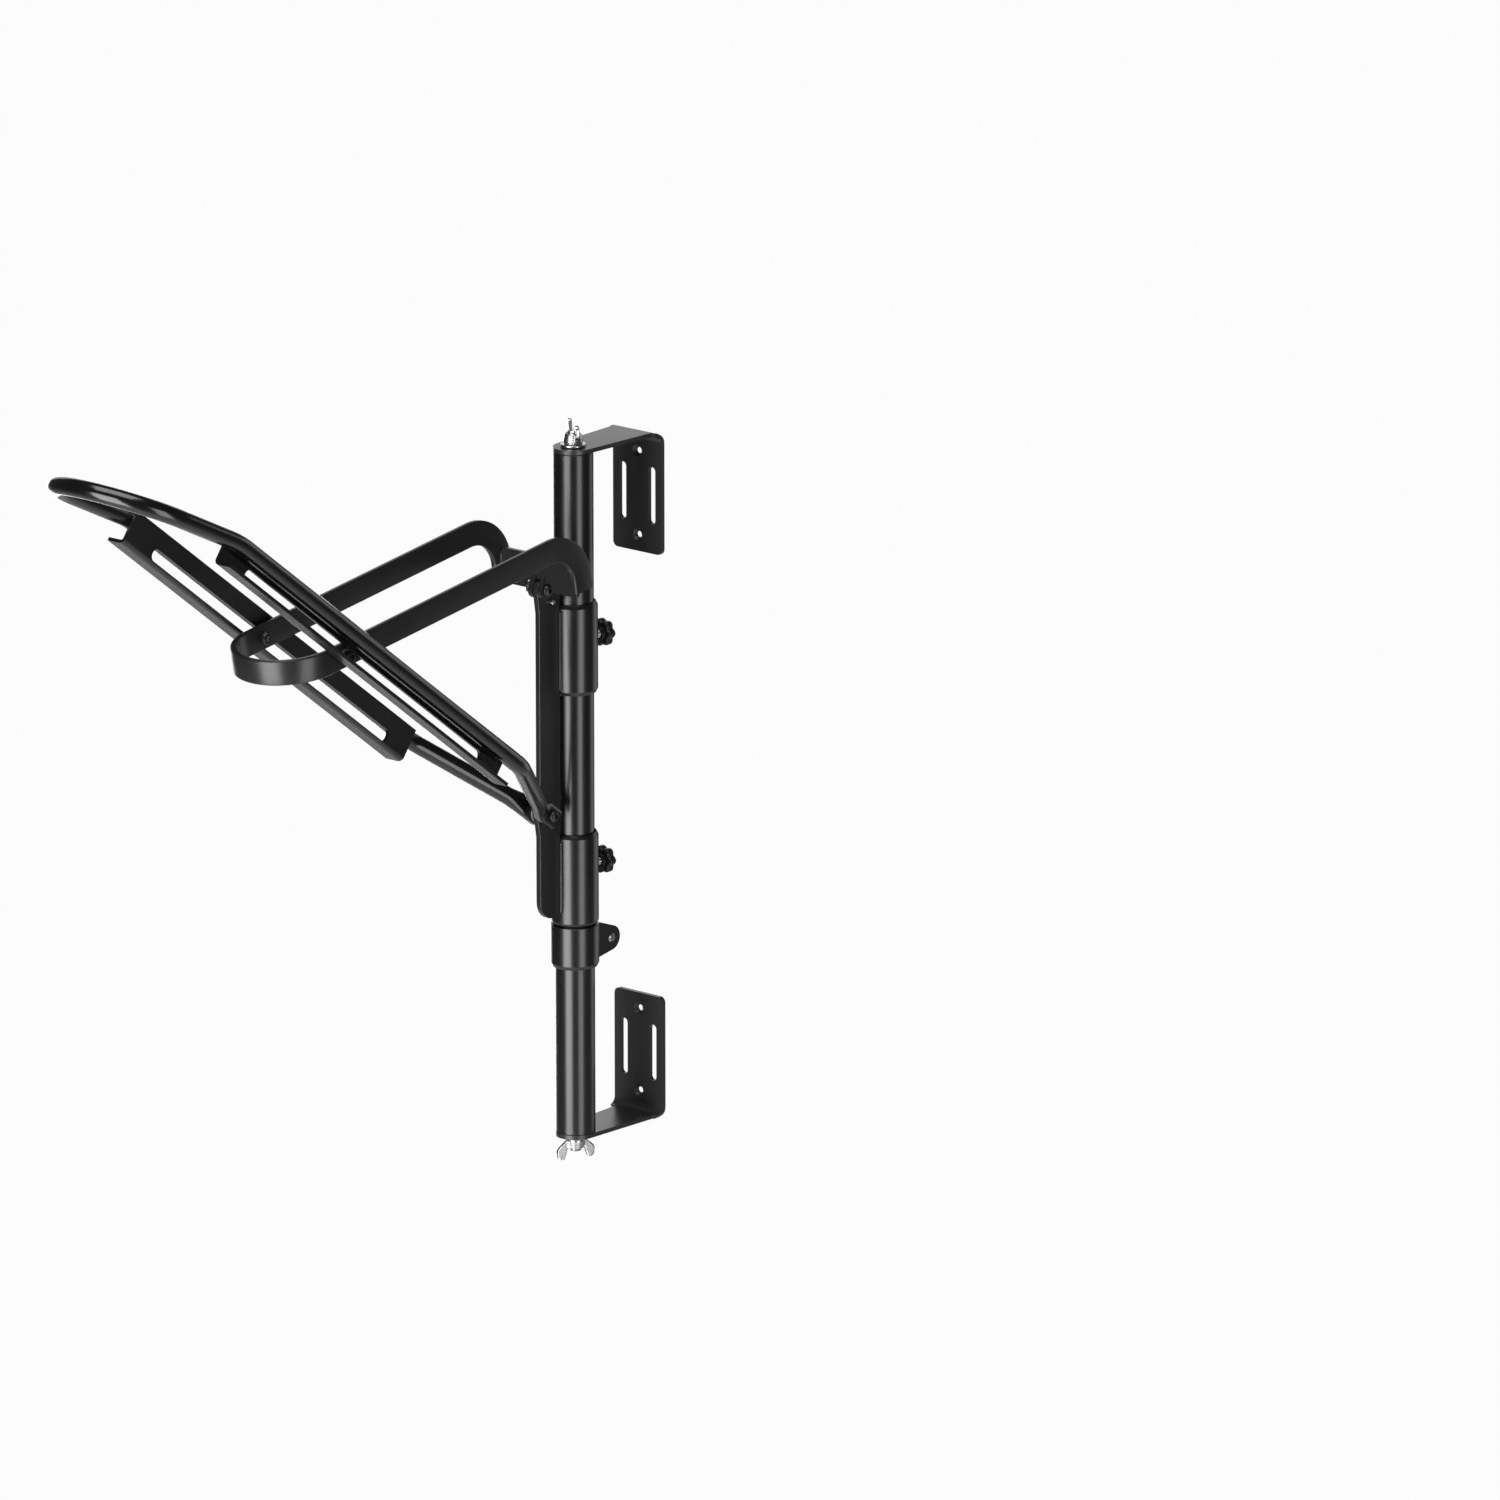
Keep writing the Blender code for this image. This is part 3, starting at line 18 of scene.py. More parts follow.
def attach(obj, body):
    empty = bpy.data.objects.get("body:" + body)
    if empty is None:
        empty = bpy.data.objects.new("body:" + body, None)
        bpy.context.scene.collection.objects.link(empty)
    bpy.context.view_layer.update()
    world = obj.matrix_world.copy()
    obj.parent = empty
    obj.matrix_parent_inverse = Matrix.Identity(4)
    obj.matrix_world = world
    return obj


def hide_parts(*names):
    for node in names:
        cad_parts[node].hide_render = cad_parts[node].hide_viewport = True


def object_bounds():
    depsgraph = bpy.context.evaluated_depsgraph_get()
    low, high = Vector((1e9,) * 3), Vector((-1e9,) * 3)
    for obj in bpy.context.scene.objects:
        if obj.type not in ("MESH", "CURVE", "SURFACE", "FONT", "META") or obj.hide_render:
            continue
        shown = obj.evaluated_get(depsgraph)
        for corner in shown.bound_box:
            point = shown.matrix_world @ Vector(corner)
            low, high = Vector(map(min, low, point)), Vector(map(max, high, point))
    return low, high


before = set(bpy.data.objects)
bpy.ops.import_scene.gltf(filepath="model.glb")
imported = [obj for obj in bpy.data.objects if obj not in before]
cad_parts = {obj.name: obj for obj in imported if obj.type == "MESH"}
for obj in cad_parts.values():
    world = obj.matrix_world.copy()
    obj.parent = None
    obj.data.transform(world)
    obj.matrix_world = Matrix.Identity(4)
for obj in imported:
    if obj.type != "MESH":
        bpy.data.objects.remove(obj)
CAD_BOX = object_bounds()

LOG = logging.getLogger("bike_mount")
METRES = 0.001
FULL_TURN = 2 * math.pi
SEAT_GAP = 0.3
TURN_GAP = 0.1
OVERCUT = 1.0
THROUGH = 60.0
THREAD_DEPTH = 0.5
SHARP_ANGLE = math.radians(32.0)
MERGE_DISTANCE = 0.0005
HANDS = (("left", -1.0), ("right", 1.0))

Pair = tuple[float, float]
Point = tuple[float, float, float]
Colour = tuple[float, float, float]
Ring = list[Vector]
Outline = Callable[[float, float, float], float]


class Value:
    """One number in a material's nodes, with the operators of Python's arithmetic."""

    def __init__(self, tree: "ShaderTree", socket: bpy.types.NodeSocket) -> None:
        """Keep the tree that the socket belongs to, and the socket itself."""
        self.tree = tree
        self.socket = socket

    def _math(self, operation: str, *values: "Value | float") -> "Value":
        """Add one Math node that works on the given values."""
        inputs = dict(enumerate(values))
        return Value(self.tree, self.tree.node("ShaderNodeMath", {"operation": operation}, inputs))

    def __add__(self, other: "Value | float") -> "Value":
        """Sum of two values."""
        return self._math("ADD", self, other)

    def __sub__(self, other: "Value | float") -> "Value":
        """Difference of two values."""
        return self._math("SUBTRACT", self, other)

    def __mul__(self, other: "Value | float") -> "Value":
        """Product of two values."""
        return self._math("MULTIPLY", self, other)

    def __rsub__(self, other: float) -> "Value":
        """Difference of a plain number and this value."""
        return self._math("SUBTRACT", other, self)

    __radd__ = __add__
    __rmul__ = __mul__

    def between(self, low: float, high: float) -> "Value":
        """Share from 0 at the low value to 1 at the high one, eased at both ends."""
        inputs = {"Value": self, "From Min": low, "From Max": high}
        settings = {"interpolation_type": "SMOOTHSTEP"}
        return Value(self.tree, self.tree.node("ShaderNodeMapRange", settings, inputs, "Result"))


class ShaderTree:
    """Node tree of one material, with the Principled shader that it ends in."""

    def __init__(self, name: str) -> None:
        """Make the material.

        Args:
            name: Name of the material.
        """
        self.material = bpy.data.materials.new(name)
        self.material.use_nodes = True
        self.nodes = self.material.node_tree.nodes
        self.links = self.material.node_tree.links
        self.shader = self.nodes["Principled BSDF"]
        self.place = self.node("ShaderNodeTexCoord", output="Object")

    def node(
        self,
        kind: str,
        settings: Mapping[str, object] | None = None,
        inputs: Mapping[object, object] | None = None,
        output: int | str = 0,
    ) -> bpy.types.NodeSocket:
        """Add a node of any type.

        Args:
            kind: Blender's name for the node's type.
            settings: Attributes of the node, set before its sockets.
            inputs: Values or links of its input sockets, by name or number.
            output: Name or number of the output wanted.

        Returns:
            The output socket.
        """
        node = self.nodes.new(kind)
        for key, value in (settings or {}).items():
            setattr(node, key, value)
        for key, value in (inputs or {}).items():
            self.feed(node.inputs[key], value)
        return node.outputs[output]

    def feed(self, socket: bpy.types.NodeSocket, value: object) -> None:
        """Give an input socket a link or a plain value."""
        if isinstance(value, Value):
            value = value.socket
        if isinstance(value, bpy.types.NodeSocket):
            self.links.new(value, socket)
        else:
            socket.default_value = value

    def noise(self, size: float, detail: float = 2.0, stretch: Point = (1.0, 1.0, 1.0)) -> Value:
        """Add soft random variation.

        Args:
            size: Size of one patch in millimetres.
            detail: Number of finer layers.
            stretch: Scale along x, y and z, for a grain that runs one way.

        Returns:
            The noise from 0 to 1, around 0.5.
        """
        place = self.node("ShaderNodeMapping", {}, {"Vector": self.place, "Scale": stretch})
        inputs = {"Vector": place, "Scale": 1.0 / (size * METRES), "Detail": detail}
        return Value(self, self.node("ShaderNodeTexNoise", {}, inputs, "Fac"))

    def mix(self, share: Value, first: Colour, second: Colour) -> bpy.types.NodeSocket:
        """Colour that goes from the first to the second with the share."""
        inputs = {0: share, 6: (*first, 1.0), 7: (*second, 1.0)}
        return self.node("ShaderNodeMix", {"data_type": "RGBA"}, inputs, 2)

    def bump(
        self, height: Value, depth: float, under: bpy.types.NodeSocket | None = None
    ) -> bpy.types.NodeSocket:
        """Add a relief.

        Args:
            height: Height in shares of the depth.
            depth: Depth in millimetres.
            under: Normal of the relief that this one lies on.

        Returns:
            The normal.
        """
        inputs = {"Height": height, "Distance": depth * METRES, "Strength": 1.0}
        if under:
            inputs["Normal"] = under
        return self.node("ShaderNodeBump", {}, inputs)

    def finish(self, inputs: Mapping[str, object]) -> bpy.types.Material:
        """Feed the shader's sockets and return the material."""
        for key, value in inputs.items():
            self.feed(self.shader.inputs[key], value)
        return self.material


@dataclass(frozen=True)
class StovedCoat:
    """Stoved coat on steel: fine orange peel, a faint cloudiness and a little dust.

    Attributes:
        name: Name of the material.
        slot: Material slot of the part that it belongs to; not used.
        colour: Colour of the coat.
        dusty: Colour where dust lies in the coat's texture.
        roughness: Roughness of the clean coat.
        spread: How much the roughness varies.
        peel: Size of the orange peel in millimetres.
        depth: Depth of the orange peel in millimetres.
        gloss: Weight of the clear top film.
        film_roughness: Roughness of that film.
        cloud: Size of the cloudy patches in millimetres.
        speck: Size of the dust specks in millimetres.
        cloud_share: How much of the dusty colour the patches show.
        speck_share: How much of it the specks show.
        speck_roughness: How much rougher a speck is.
    """

    name: str
    slot: str
    colour: Colour
    dusty: Colour
    roughness: float
    spread: float
    peel: float
    depth: float
    gloss: float
    film_roughness: float
    cloud: float = 38.0
    speck: float = 0.9
    cloud_share: float = 0.22
    speck_share: float = 0.25
    speck_roughness: float = 0.06

    def material(self) -> bpy.types.Material:
        """Make the material."""
        tree = ShaderTree(self.name)
        cloud = tree.noise(self.cloud, 3.0)
        speck = tree.noise(self.speck, 1.0).between(0.66, 0.78)
        peel = tree.bump(tree.noise(self.peel, 1.5), self.depth)
        grain = tree.noise(self.peel * 0.22)
        dust = cloud.between(0.35, 0.75) * self.cloud_share + speck * self.speck_share
        return tree.finish(
            {
                "Base Color": tree.mix(dust, self.colour, self.dusty),
                "Roughness": self.roughness + (cloud - 0.5) * self.spread + speck * self.speck_roughness,
                "Normal": tree.bump(grain, self.depth * 0.25, peel),
                "Coat Weight": self.gloss,
                "Coat Roughness": self.film_roughness,
            }
        )


@dataclass(frozen=True)
class ZincPlate:
    """Bright zinc on turned or pressed steel, clouded and finely scratched.

    Attributes:
        name: Name of the material.
        slot: Material slot of the part that it belongs to; not used.
        bright: Colour of the clean plate.
        dull: Colour of the clouded plate.
        roughness: Roughness of the clean plate.
        cloud: Size of the clouds in millimetres.
        scratch: Size of the scratches in millimetres, across their run.
        depth: Depth of the scratches in millimetres.
    """

    name: str
    slot: str
    bright: Colour
    dull: Colour
    roughness: float
    cloud: float = 4.5
    scratch: float = 0.5
    depth: float = 0.012

    def material(self) -> bpy.types.Material:
        """Make the material."""
        tree = ShaderTree(self.name)
        cloud = tree.noise(self.cloud, 4.0)
        scratch = tree.noise(self.scratch, 3.0, (1.0, 1.0, 7.0))
        return tree.finish(
            {
                "Base Color": tree.mix(cloud.between(0.35, 0.7), self.bright, self.dull),
                "Roughness": self.roughness + (cloud - 0.4) * 0.3 + (scratch - 0.5) * 0.12,
                "Metallic": 1.0,
                "Normal": tree.bump(scratch, self.depth),
            }
        )


@dataclass(frozen=True)
class MouldedPlastic:
    """Moulded plastic with a spark-eroded grain.

    Attributes:
        name: Name of the material.
        slot: Material slot of the part that it belongs to; not used.
        colour: Colour of the plastic.
        rubbed: Colour where hands have polished it or dust has settled.
        roughness: Roughness of the grain.
        grain: Size of the grain in millimetres.
        depth: Depth of the grain in millimetres.
        patch: Size of the rubbed patches in millimetres.
    """

    name: str
    slot: str
    colour: Colour
    rubbed: Colour
    roughness: float
    grain: float
    depth: float
    patch: float = 7.0

    def material(self) -> bpy.types.Material:
        """Make the material."""
        tree = ShaderTree(self.name)
        wear = tree.noise(self.patch, 3.0).between(0.4, 0.8)
        grain = tree.noise(self.grain, 3.0)
        return tree.finish(
            {
                "Base Color": tree.mix(wear * 0.5, self.colour, self.rubbed),
                "Roughness": self.roughness - wear * 0.1 + (grain - 0.5) * 0.1,
                "Normal": tree.bump(grain, self.depth),
            }
        )


class Finish(Enum):
    """Finishes of the mount."""

    POWDER = StovedCoat(
        name="powder_black",
        slot="powder_black",
        colour=(0.0035, 0.0037, 0.0036),
        dusty=(0.012, 0.012, 0.0115),
        roughness=0.3,
        spread=0.08,
        peel=1.5,
        depth=0.01,
        gloss=0.55,
        film_roughness=0.22,
    )
    # The brackets' coat is the pole's black powder coat with painted light: its colour and dust colour are
    # made lighter to stand in for the light that the flat plates catch.
    LIT_BRACKET = StovedCoat(
        name="bracket_lit_black",
        slot="powder_black",
        colour=(0.020, 0.0206, 0.020),
        dusty=(0.036, 0.036, 0.0345),
        roughness=0.36,
        spread=0.1,
        peel=1.3,
        depth=0.012,
        gloss=0.4,
        film_roughness=0.28,
    )
    GLOSS = StovedCoat(
        name="gloss_black",
        slot="gloss_black",
        colour=(0.003, 0.0032, 0.0031),
        dusty=(0.01, 0.01, 0.0096),
        roughness=0.2,
        spread=0.06,
        peel=1.9,
        depth=0.01,
        gloss=0.6,
        film_roughness=0.12,
    )
    SATIN = StovedCoat(
        name="satin_grey",
        slot="satin_grey",
        colour=(0.012, 0.0123, 0.0121),
        dusty=(0.026, 0.026, 0.025),
        roughness=0.32,
        spread=0.1,
        peel=1.3,
        depth=0.014,
        gloss=0.3,
        film_roughness=0.25,
    )
    KNOB = MouldedPlastic(
        name="knob_black",
        slot="knob_black",
        colour=(0.005, 0.005, 0.0052),
        rubbed=(0.012, 0.012, 0.012),
        roughness=0.42,
        grain=0.35,
        depth=0.02,
    )
    BEARING = MouldedPlastic(
        name="bearing_grey",
        slot="bearing_grey",
        colour=(0.15, 0.15, 0.148),
        rubbed=(0.21, 0.21, 0.20),
        roughness=0.55,
        grain=0.6,
        depth=0.012,
    )
    ZINC = ZincPlate(
        name="bright_zinc",
        slot="bright_zinc",
        bright=(0.72, 0.72, 0.71),
        dull=(0.50, 0.51, 0.50),
        roughness=0.22,
    )


class Axis(Enum):
    """Axis of a shape: which of its two coordinates across and one along gives x, y and z."""

    X = (2, 0, 1)
    Y = (0, 2, 1)
    Z = (0, 1, 2)

    def point(self, u: float, v: float, w: float) -> Vector:
        """Point with coordinates u and v across the axis and w along it."""
        values = (u, v, w)
        return Vector([values[i] for i in self.value])


class Cut(Enum):
    """Ways in which a second shape changes a piece."""

    AWAY = "DIFFERENCE"
    WITHIN = "INTERSECT"
    ADDED = "UNION"


@dataclass(frozen=True)
class Shape:
    """Closed surface in millimetres.

    Attributes:
        points: Corners of the surface.
        faces: Numbers of each face's corners.
    """

    points: list[Vector]
    faces: list[tuple[int, ...]]

    def moved(self, matrix: Matrix) -> "Shape":
        """Copy that is carried by a matrix."""
        return Shape([matrix @ point for point in self.points], self.faces)

    def at(self, x: float = 0.0, y: float = 0.0, z: float = 0.0) -> "Shape":
        """Copy that is moved along the axes."""
        return self.moved(Matrix.Translation((x, y, z)))


def arc(centre: Pair, radius: float, start: float, end: float, step: float = 5.0) -> list[Pair]:
    """Points on an arc.

    Args:
        centre: Centre of the arc.
        radius: Radius of the arc.
        start: Angle of the first point in degrees.
        end: Angle of the last point in degrees.
        step: Largest angle between two points in degrees.

    Returns:
        The points, both ends included.
    """
    count = max(1, math.ceil(abs(end - start) / step))
    turns = [math.radians(start + (end - start) * i / count) for i in range(count + 1)]
    return [(centre[0] + radius * math.cos(t), centre[1] + radius * math.sin(t)) for t in turns]


def tangent_angle(centre: Pair, radius: float, point: Pair, side: float) -> float:
    """Angle in degrees at which a line from the point touches the circle, on side +1 or -1."""
    away = math.atan2(point[1] - centre[1], point[0] - centre[0])
    return math.degrees(away + side * math.acos(radius / math.dist(centre, point)))


def rounded(corners: Sequence[Point], step: float = 10.0) -> list[Pair]:
    """Round the corners of an outline.

    Args:
        corners: Corners as (x, y, radius); a radius of 0 keeps the corner sharp.
        step: Largest angle between two points of a rounded corner in degrees.

    Returns:
        The points of the outline.
    """
    outline: list[Pair] = []
    for i, (x, y, radius) in enumerate(corners):
        if radius == 0.0:
            outline.append((x, y))
            continue
        here = Vector((x, y))
        before = (Vector(corners[i - 1][:2]) - here).normalized()
        after = (Vector(corners[(i + 1) % len(corners)][:2]) - here).normalized()
        half = before.angle(after) / 2
        centre = here + (before + after).normalized() * radius / math.sin(half)
        touch_in = here + before * radius / math.tan(half) - centre
        touch_out = here + after * radius / math.tan(half) - centre
        start = math.degrees(math.atan2(touch_in.y, touch_in.x))
        sweep = math.degrees(math.atan2(touch_out.y, touch_out.x)) - start
        sweep = (sweep + 180.0) % 360.0 - 180.0
        outline += arc(tuple(centre), radius, start, start + sweep, step)
    return outline


def stadium(length: float, width: float, centre: Pair, upright: bool) -> list[Pair]:
    """Outline of a slot with round ends."""
    reach = (length - width) / 2
    ends = arc((reach, 0.0), width / 2, -90.0, 90.0, 9.0) + arc((-reach, 0.0), width / 2, 90.0, 270.0, 9.0)
    if upright:
        ends = [(-y, x) for x, y in ends]
    return [(centre[0] + x, centre[1] + y) for x, y in ends]


def plain(radius: float, turn: float, height: float) -> float:
    """Round outline: the profile's own radius at every turn."""
    return radius


def hexagonal(radius: float, turn: float, height: float) -> float:
    """Hexagon whose flats lie at the profile's radius."""
    off_flat = (turn + math.pi / 6) % (math.pi / 3) - math.pi / 6
    return radius / math.cos(off_flat)


def nut_outline(flats: float) -> Outline:
    """Hexagon across the given flats, clipped to the profile's own radius at its chamfers."""
    return lambda radius, turn, height: min(radius, hexagonal(flats / 2, turn, height))


def lobed(lobes: int, depth: float, grip: float) -> Outline:
    """Make the outline of a star knob whose lobes fade out towards its hub.

    Args:
        lobes: Number of lobes.
        depth: Depth of the valleys at the grip's full radius.
        grip: Full radius of the grip.

    Returns:
        The outline.
    """

    def outline(radius: float, turn: float, height: float) -> float:
        """Radius at one turn, with lobes rounder than the valleys."""
        lobe = math.sqrt(0.59 + 0.41 * math.cos(lobes * turn))
        share = max(0.0, min(1.0, (radius / grip - 0.5) * 2.5))
        return radius - depth * (1.0 - lobe) * share

    return outline


def threaded(pitch: float, depth: float, start: float, end: float) -> Outline:
    """Make the outline of a rolled thread.

    Args:
        pitch: Rise of one turn.
        depth: Depth of the thread.
        start: Height at which the thread begins.
        end: Height at which it ends.

    Returns:
        The outline.
    """

    def outline(radius: float, turn: float, height: float) -> float:
        """Radius at one turn and height, less the V-shaped groove."""
        phase = (height / pitch - turn / FULL_TURN) % 1.0
        groove = max(0.0, 1.0 - abs(phase - 0.5) * 2.4)
        fade = max(0.0, min(1.0, (height - start) / pitch, (end - height) / pitch))
        return radius - depth * groove * fade

    return outline


def rings(axis: Axis, profile: Sequence[Pair], outline: Outline = plain, sides: int = 48) -> list[Ring]:
    """Turn a profile into rings of points.

    Args:
        axis: Axis of the turned shape.
        profile: Radii and heights.
        outline: Radius at each turn and height.
        sides: Points in a ring.

    Returns:
        One ring for each point of the profile.
    """
    turns = [FULL_TURN * i / sides for i in range(sides)]
    made = []
    for radius, height in profile:
        reach = [outline(radius, turn, height) for turn in turns]
        made.append([axis.point(r * math.cos(t), r * math.sin(t), height) for r, t in zip(reach, turns)])
    return made


def skin(loops: Sequence[Sequence[Vector]], closed: bool = False) -> Shape:
    """Lay a surface through equal rings.

    Args:
        loops: The rings.
        closed: Whether the last ring meets the first; otherwise both ends are capped.

    Returns:
        The surface.
    """
    count = len(loops[0])
    spans = len(loops) if closed else len(loops) - 1
    faces: list[tuple[int, ...]] = []
    for r in range(spans):
        here = r * count
        there = ((r + 1) % len(loops)) * count
        for i in range(count):
            after = (i + 1) % count
            faces.append((here + i, here + after, there + after, there + i))
    if not closed:
        last = (len(loops) - 1) * count
        faces += [tuple(reversed(range(count))), tuple(range(last, last + count))]
    return Shape([point for loop in loops for point in loop], faces)


def prism(axis: Axis, outline: Sequence[Pair], low: float, high: float) -> Shape:
    """Outline pushed from low to high along an axis."""
    return skin([[axis.point(u, v, w) for u, v in outline] for w in sorted((low, high))])


def turned(axis: Axis, corners: Sequence[Point], outline: Outline = plain, sides: int = 48) -> Shape:
    """Solid turned from the (radius, height, easing) corners of its profile, its ends flat."""
    core = [(0.0, corners[0][1], 0.0), *corners, (0.0, corners[-1][1], 0.0)]
    return skin(rings(axis, rounded(core, 22.5)[1:-1], outline, sides))


def turned_ring(axis: Axis, corners: Sequence[Point], sides: int = 48) -> Shape:
    """Ring turned from the (radius, height, easing) corners of its closed profile."""
    return skin(rings(axis, rounded(corners, 22.5), plain, sides), closed=True)


def drill(axis: Axis, radius: float, low: float, high: float) -> Shape:
    """Plain round cutter."""
    return skin(rings(axis, [(radius, low), (radius, high)], plain, 32))


def washer(axis: Axis, bore: float, rim: float, low: float, high: float) -> Shape:
    """Flat ring with eased outer edges."""
    low, high = sorted((low, high))
    ease = min(0.3, (high - low) / 4)
    return turned_ring(axis, [(bore, low, 0.0), (rim, low, ease), (rim, high, ease), (bore, high, 0.0)])


def hex_nut(axis: Axis, flats: float, bore: float, low: float, high: float) -> Shape:
    """Hexagon nut with both faces and both ends of its bore chamfered."""
    low, high = sorted((low, high))
    corner = flats / math.sqrt(3.0)
    face = flats / 2 * 0.97
    fall = (corner - face) * 0.55
    sink = 0.5
    mouth = bore + sink
    body = [(face, low), (corner, low + fall), (corner, high - fall), (face, high)]
    hole = [(mouth, high), (bore, high - sink), (bore, low + sink), (mouth, low)]
    outer = rings(axis, body, nut_outline(flats), 72)
    return skin(outer + rings(axis, hole, plain, 72), closed=True)


def thread_steps(radius: float, start: float, end: float, pitch: float) -> list[Pair]:
    """Profile of a threaded shank, with a ring for each eighth of the pitch."""
    count = math.ceil(abs(end - start) / (pitch / 8))
    return [(radius, start + (end - start) * i / count) for i in range(count + 1)]


def threaded_rod(axis: Axis, radius: float, low: float, high: float, pitch: float) -> Shape:
    """Rod with a thread from end to end and both tips chamfered."""
    tip = 0.6
    thread = thread_steps(radius, low + tip, high - tip, pitch)
    profile = [(radius - tip, low), *thread, (radius - tip, high)]
    return skin(rings(axis, profile, threaded(pitch, pitch * THREAD_DEPTH, low, high), 36))


@dataclass(frozen=True)
class SocketBolt:
    """Bolt along X whose head has a hexagon socket.

    Attributes:
        radius: Radius of the shank.
        tip: Where the shank ends.
        thread_end: Where its thread ends.
        pitch: Pitch of the thread.
        socket_flats: Size of the socket across flats.
        socket_depth: Depth of the socket.
    """

    radius: float
    tip: float
    thread_end: float
    pitch: float
    socket_flats: float = 3.4
    socket_depth: float = 1.2

    def shape(self, head: Sequence[Point], step: float) -> Shape:
        """Make the bolt.

        Args:
            head: Corners of the head's profile as (radius, place, easing), from its seat to its face.
            step: Largest angle between two points of an eased corner in degrees.

        Returns:
            The bolt.
        """
        seat, face = head[0][1], head[-1][1]
        lead = 0.5
        thread = thread_steps(self.radius, self.tip + lead, self.thread_end, self.pitch)
        shank = [(self.radius - lead, self.tip), *thread, (self.radius, seat)]
        groove = threaded(self.pitch, self.pitch * THREAD_DEPTH, self.tip - 0.3, self.thread_end)
        socket = self.socket_flats / 2
        button = rounded([(0.0, seat, 0.0), *head, (0.0, face, 0.0)], step)
        loops = rings(Axis.X, shank, groove)
        loops += rings(Axis.X, button[1:-1])
        loops += rings(Axis.X, [(socket, face), (socket, face - self.socket_depth)], hexagonal)
        return skin(loops)


def filleted_path(corners: Sequence[tuple[Point, float]], step: float) -> list[Vector]:
    """Centre line of a bent tube.

    Args:
        corners: Corner points with their bend radii.
        step: Largest angle between two points of a bend in degrees.

    Returns:
        The points of the line.
    """
    path = [Vector(corners[0][0])]
    for i in range(1, len(corners) - 1):
        here = Vector(corners[i][0])
        radius = corners[i][1]
        before = (Vector(corners[i - 1][0]) - here).normalized()
        after = (Vector(corners[i + 1][0]) - here).normalized()
        half = before.angle(after) / 2
        centre = here + (before + after).normalized() * radius / math.sin(half)
        start = here + before * radius / math.tan(half) - centre
        end = here + after * radius / math.tan(half) - centre
        sweep = math.pi - 2 * half
        count = max(2, math.ceil(math.degrees(sweep) / step))
        for k in range(count + 1):
            share = k / count
            turn_in, turn_out = math.sin((1.0 - share) * sweep), math.sin(share * sweep)
            point = centre + (start * turn_in + end * turn_out) / math.sin(sweep)
            if (point - path[-1]).length > 0.01:
                path.append(point)
    path.append(Vector(corners[-1][0]))
    return path


def weld_bead(start: Point, end: Point, radius: float, pitch: float = 1.7, sides: int = 12) -> Shape:
    """Rippled bead of a weld.

    Args:
        start: Where the bead begins.
        end: Where the bead ends.
        radius: Radius of the bead.
        pitch: Length of one ripple.
        sides: Points round the bead.

    Returns:
        The bead, tapered at both ends.
    """
    foot, head = Vector(start), Vector(end)
    run = (head - foot).normalized()
    across = run.orthogonal().normalized()
    along = run.cross(across)
    length = (head - foot).length
    count = math.ceil(length / pitch * 6)
    turns = [FULL_TURN * k / sides for k in range(sides)]
    spokes = [across * math.cos(t) + along * math.sin(t) for t in turns]
    loops = []
    for i in range(count + 1):
        travelled = length * i / count
        taper = min(1.0, math.sqrt(max(0.02, min(travelled, length - travelled) / (1.5 * radius))))
        size = radius * taper * (1.0 - 0.16 * abs(math.sin(math.pi * travelled / pitch)))
        centre = foot + run * travelled
        loops.append([centre + spoke * size for spoke in spokes])
    return skin(loops)


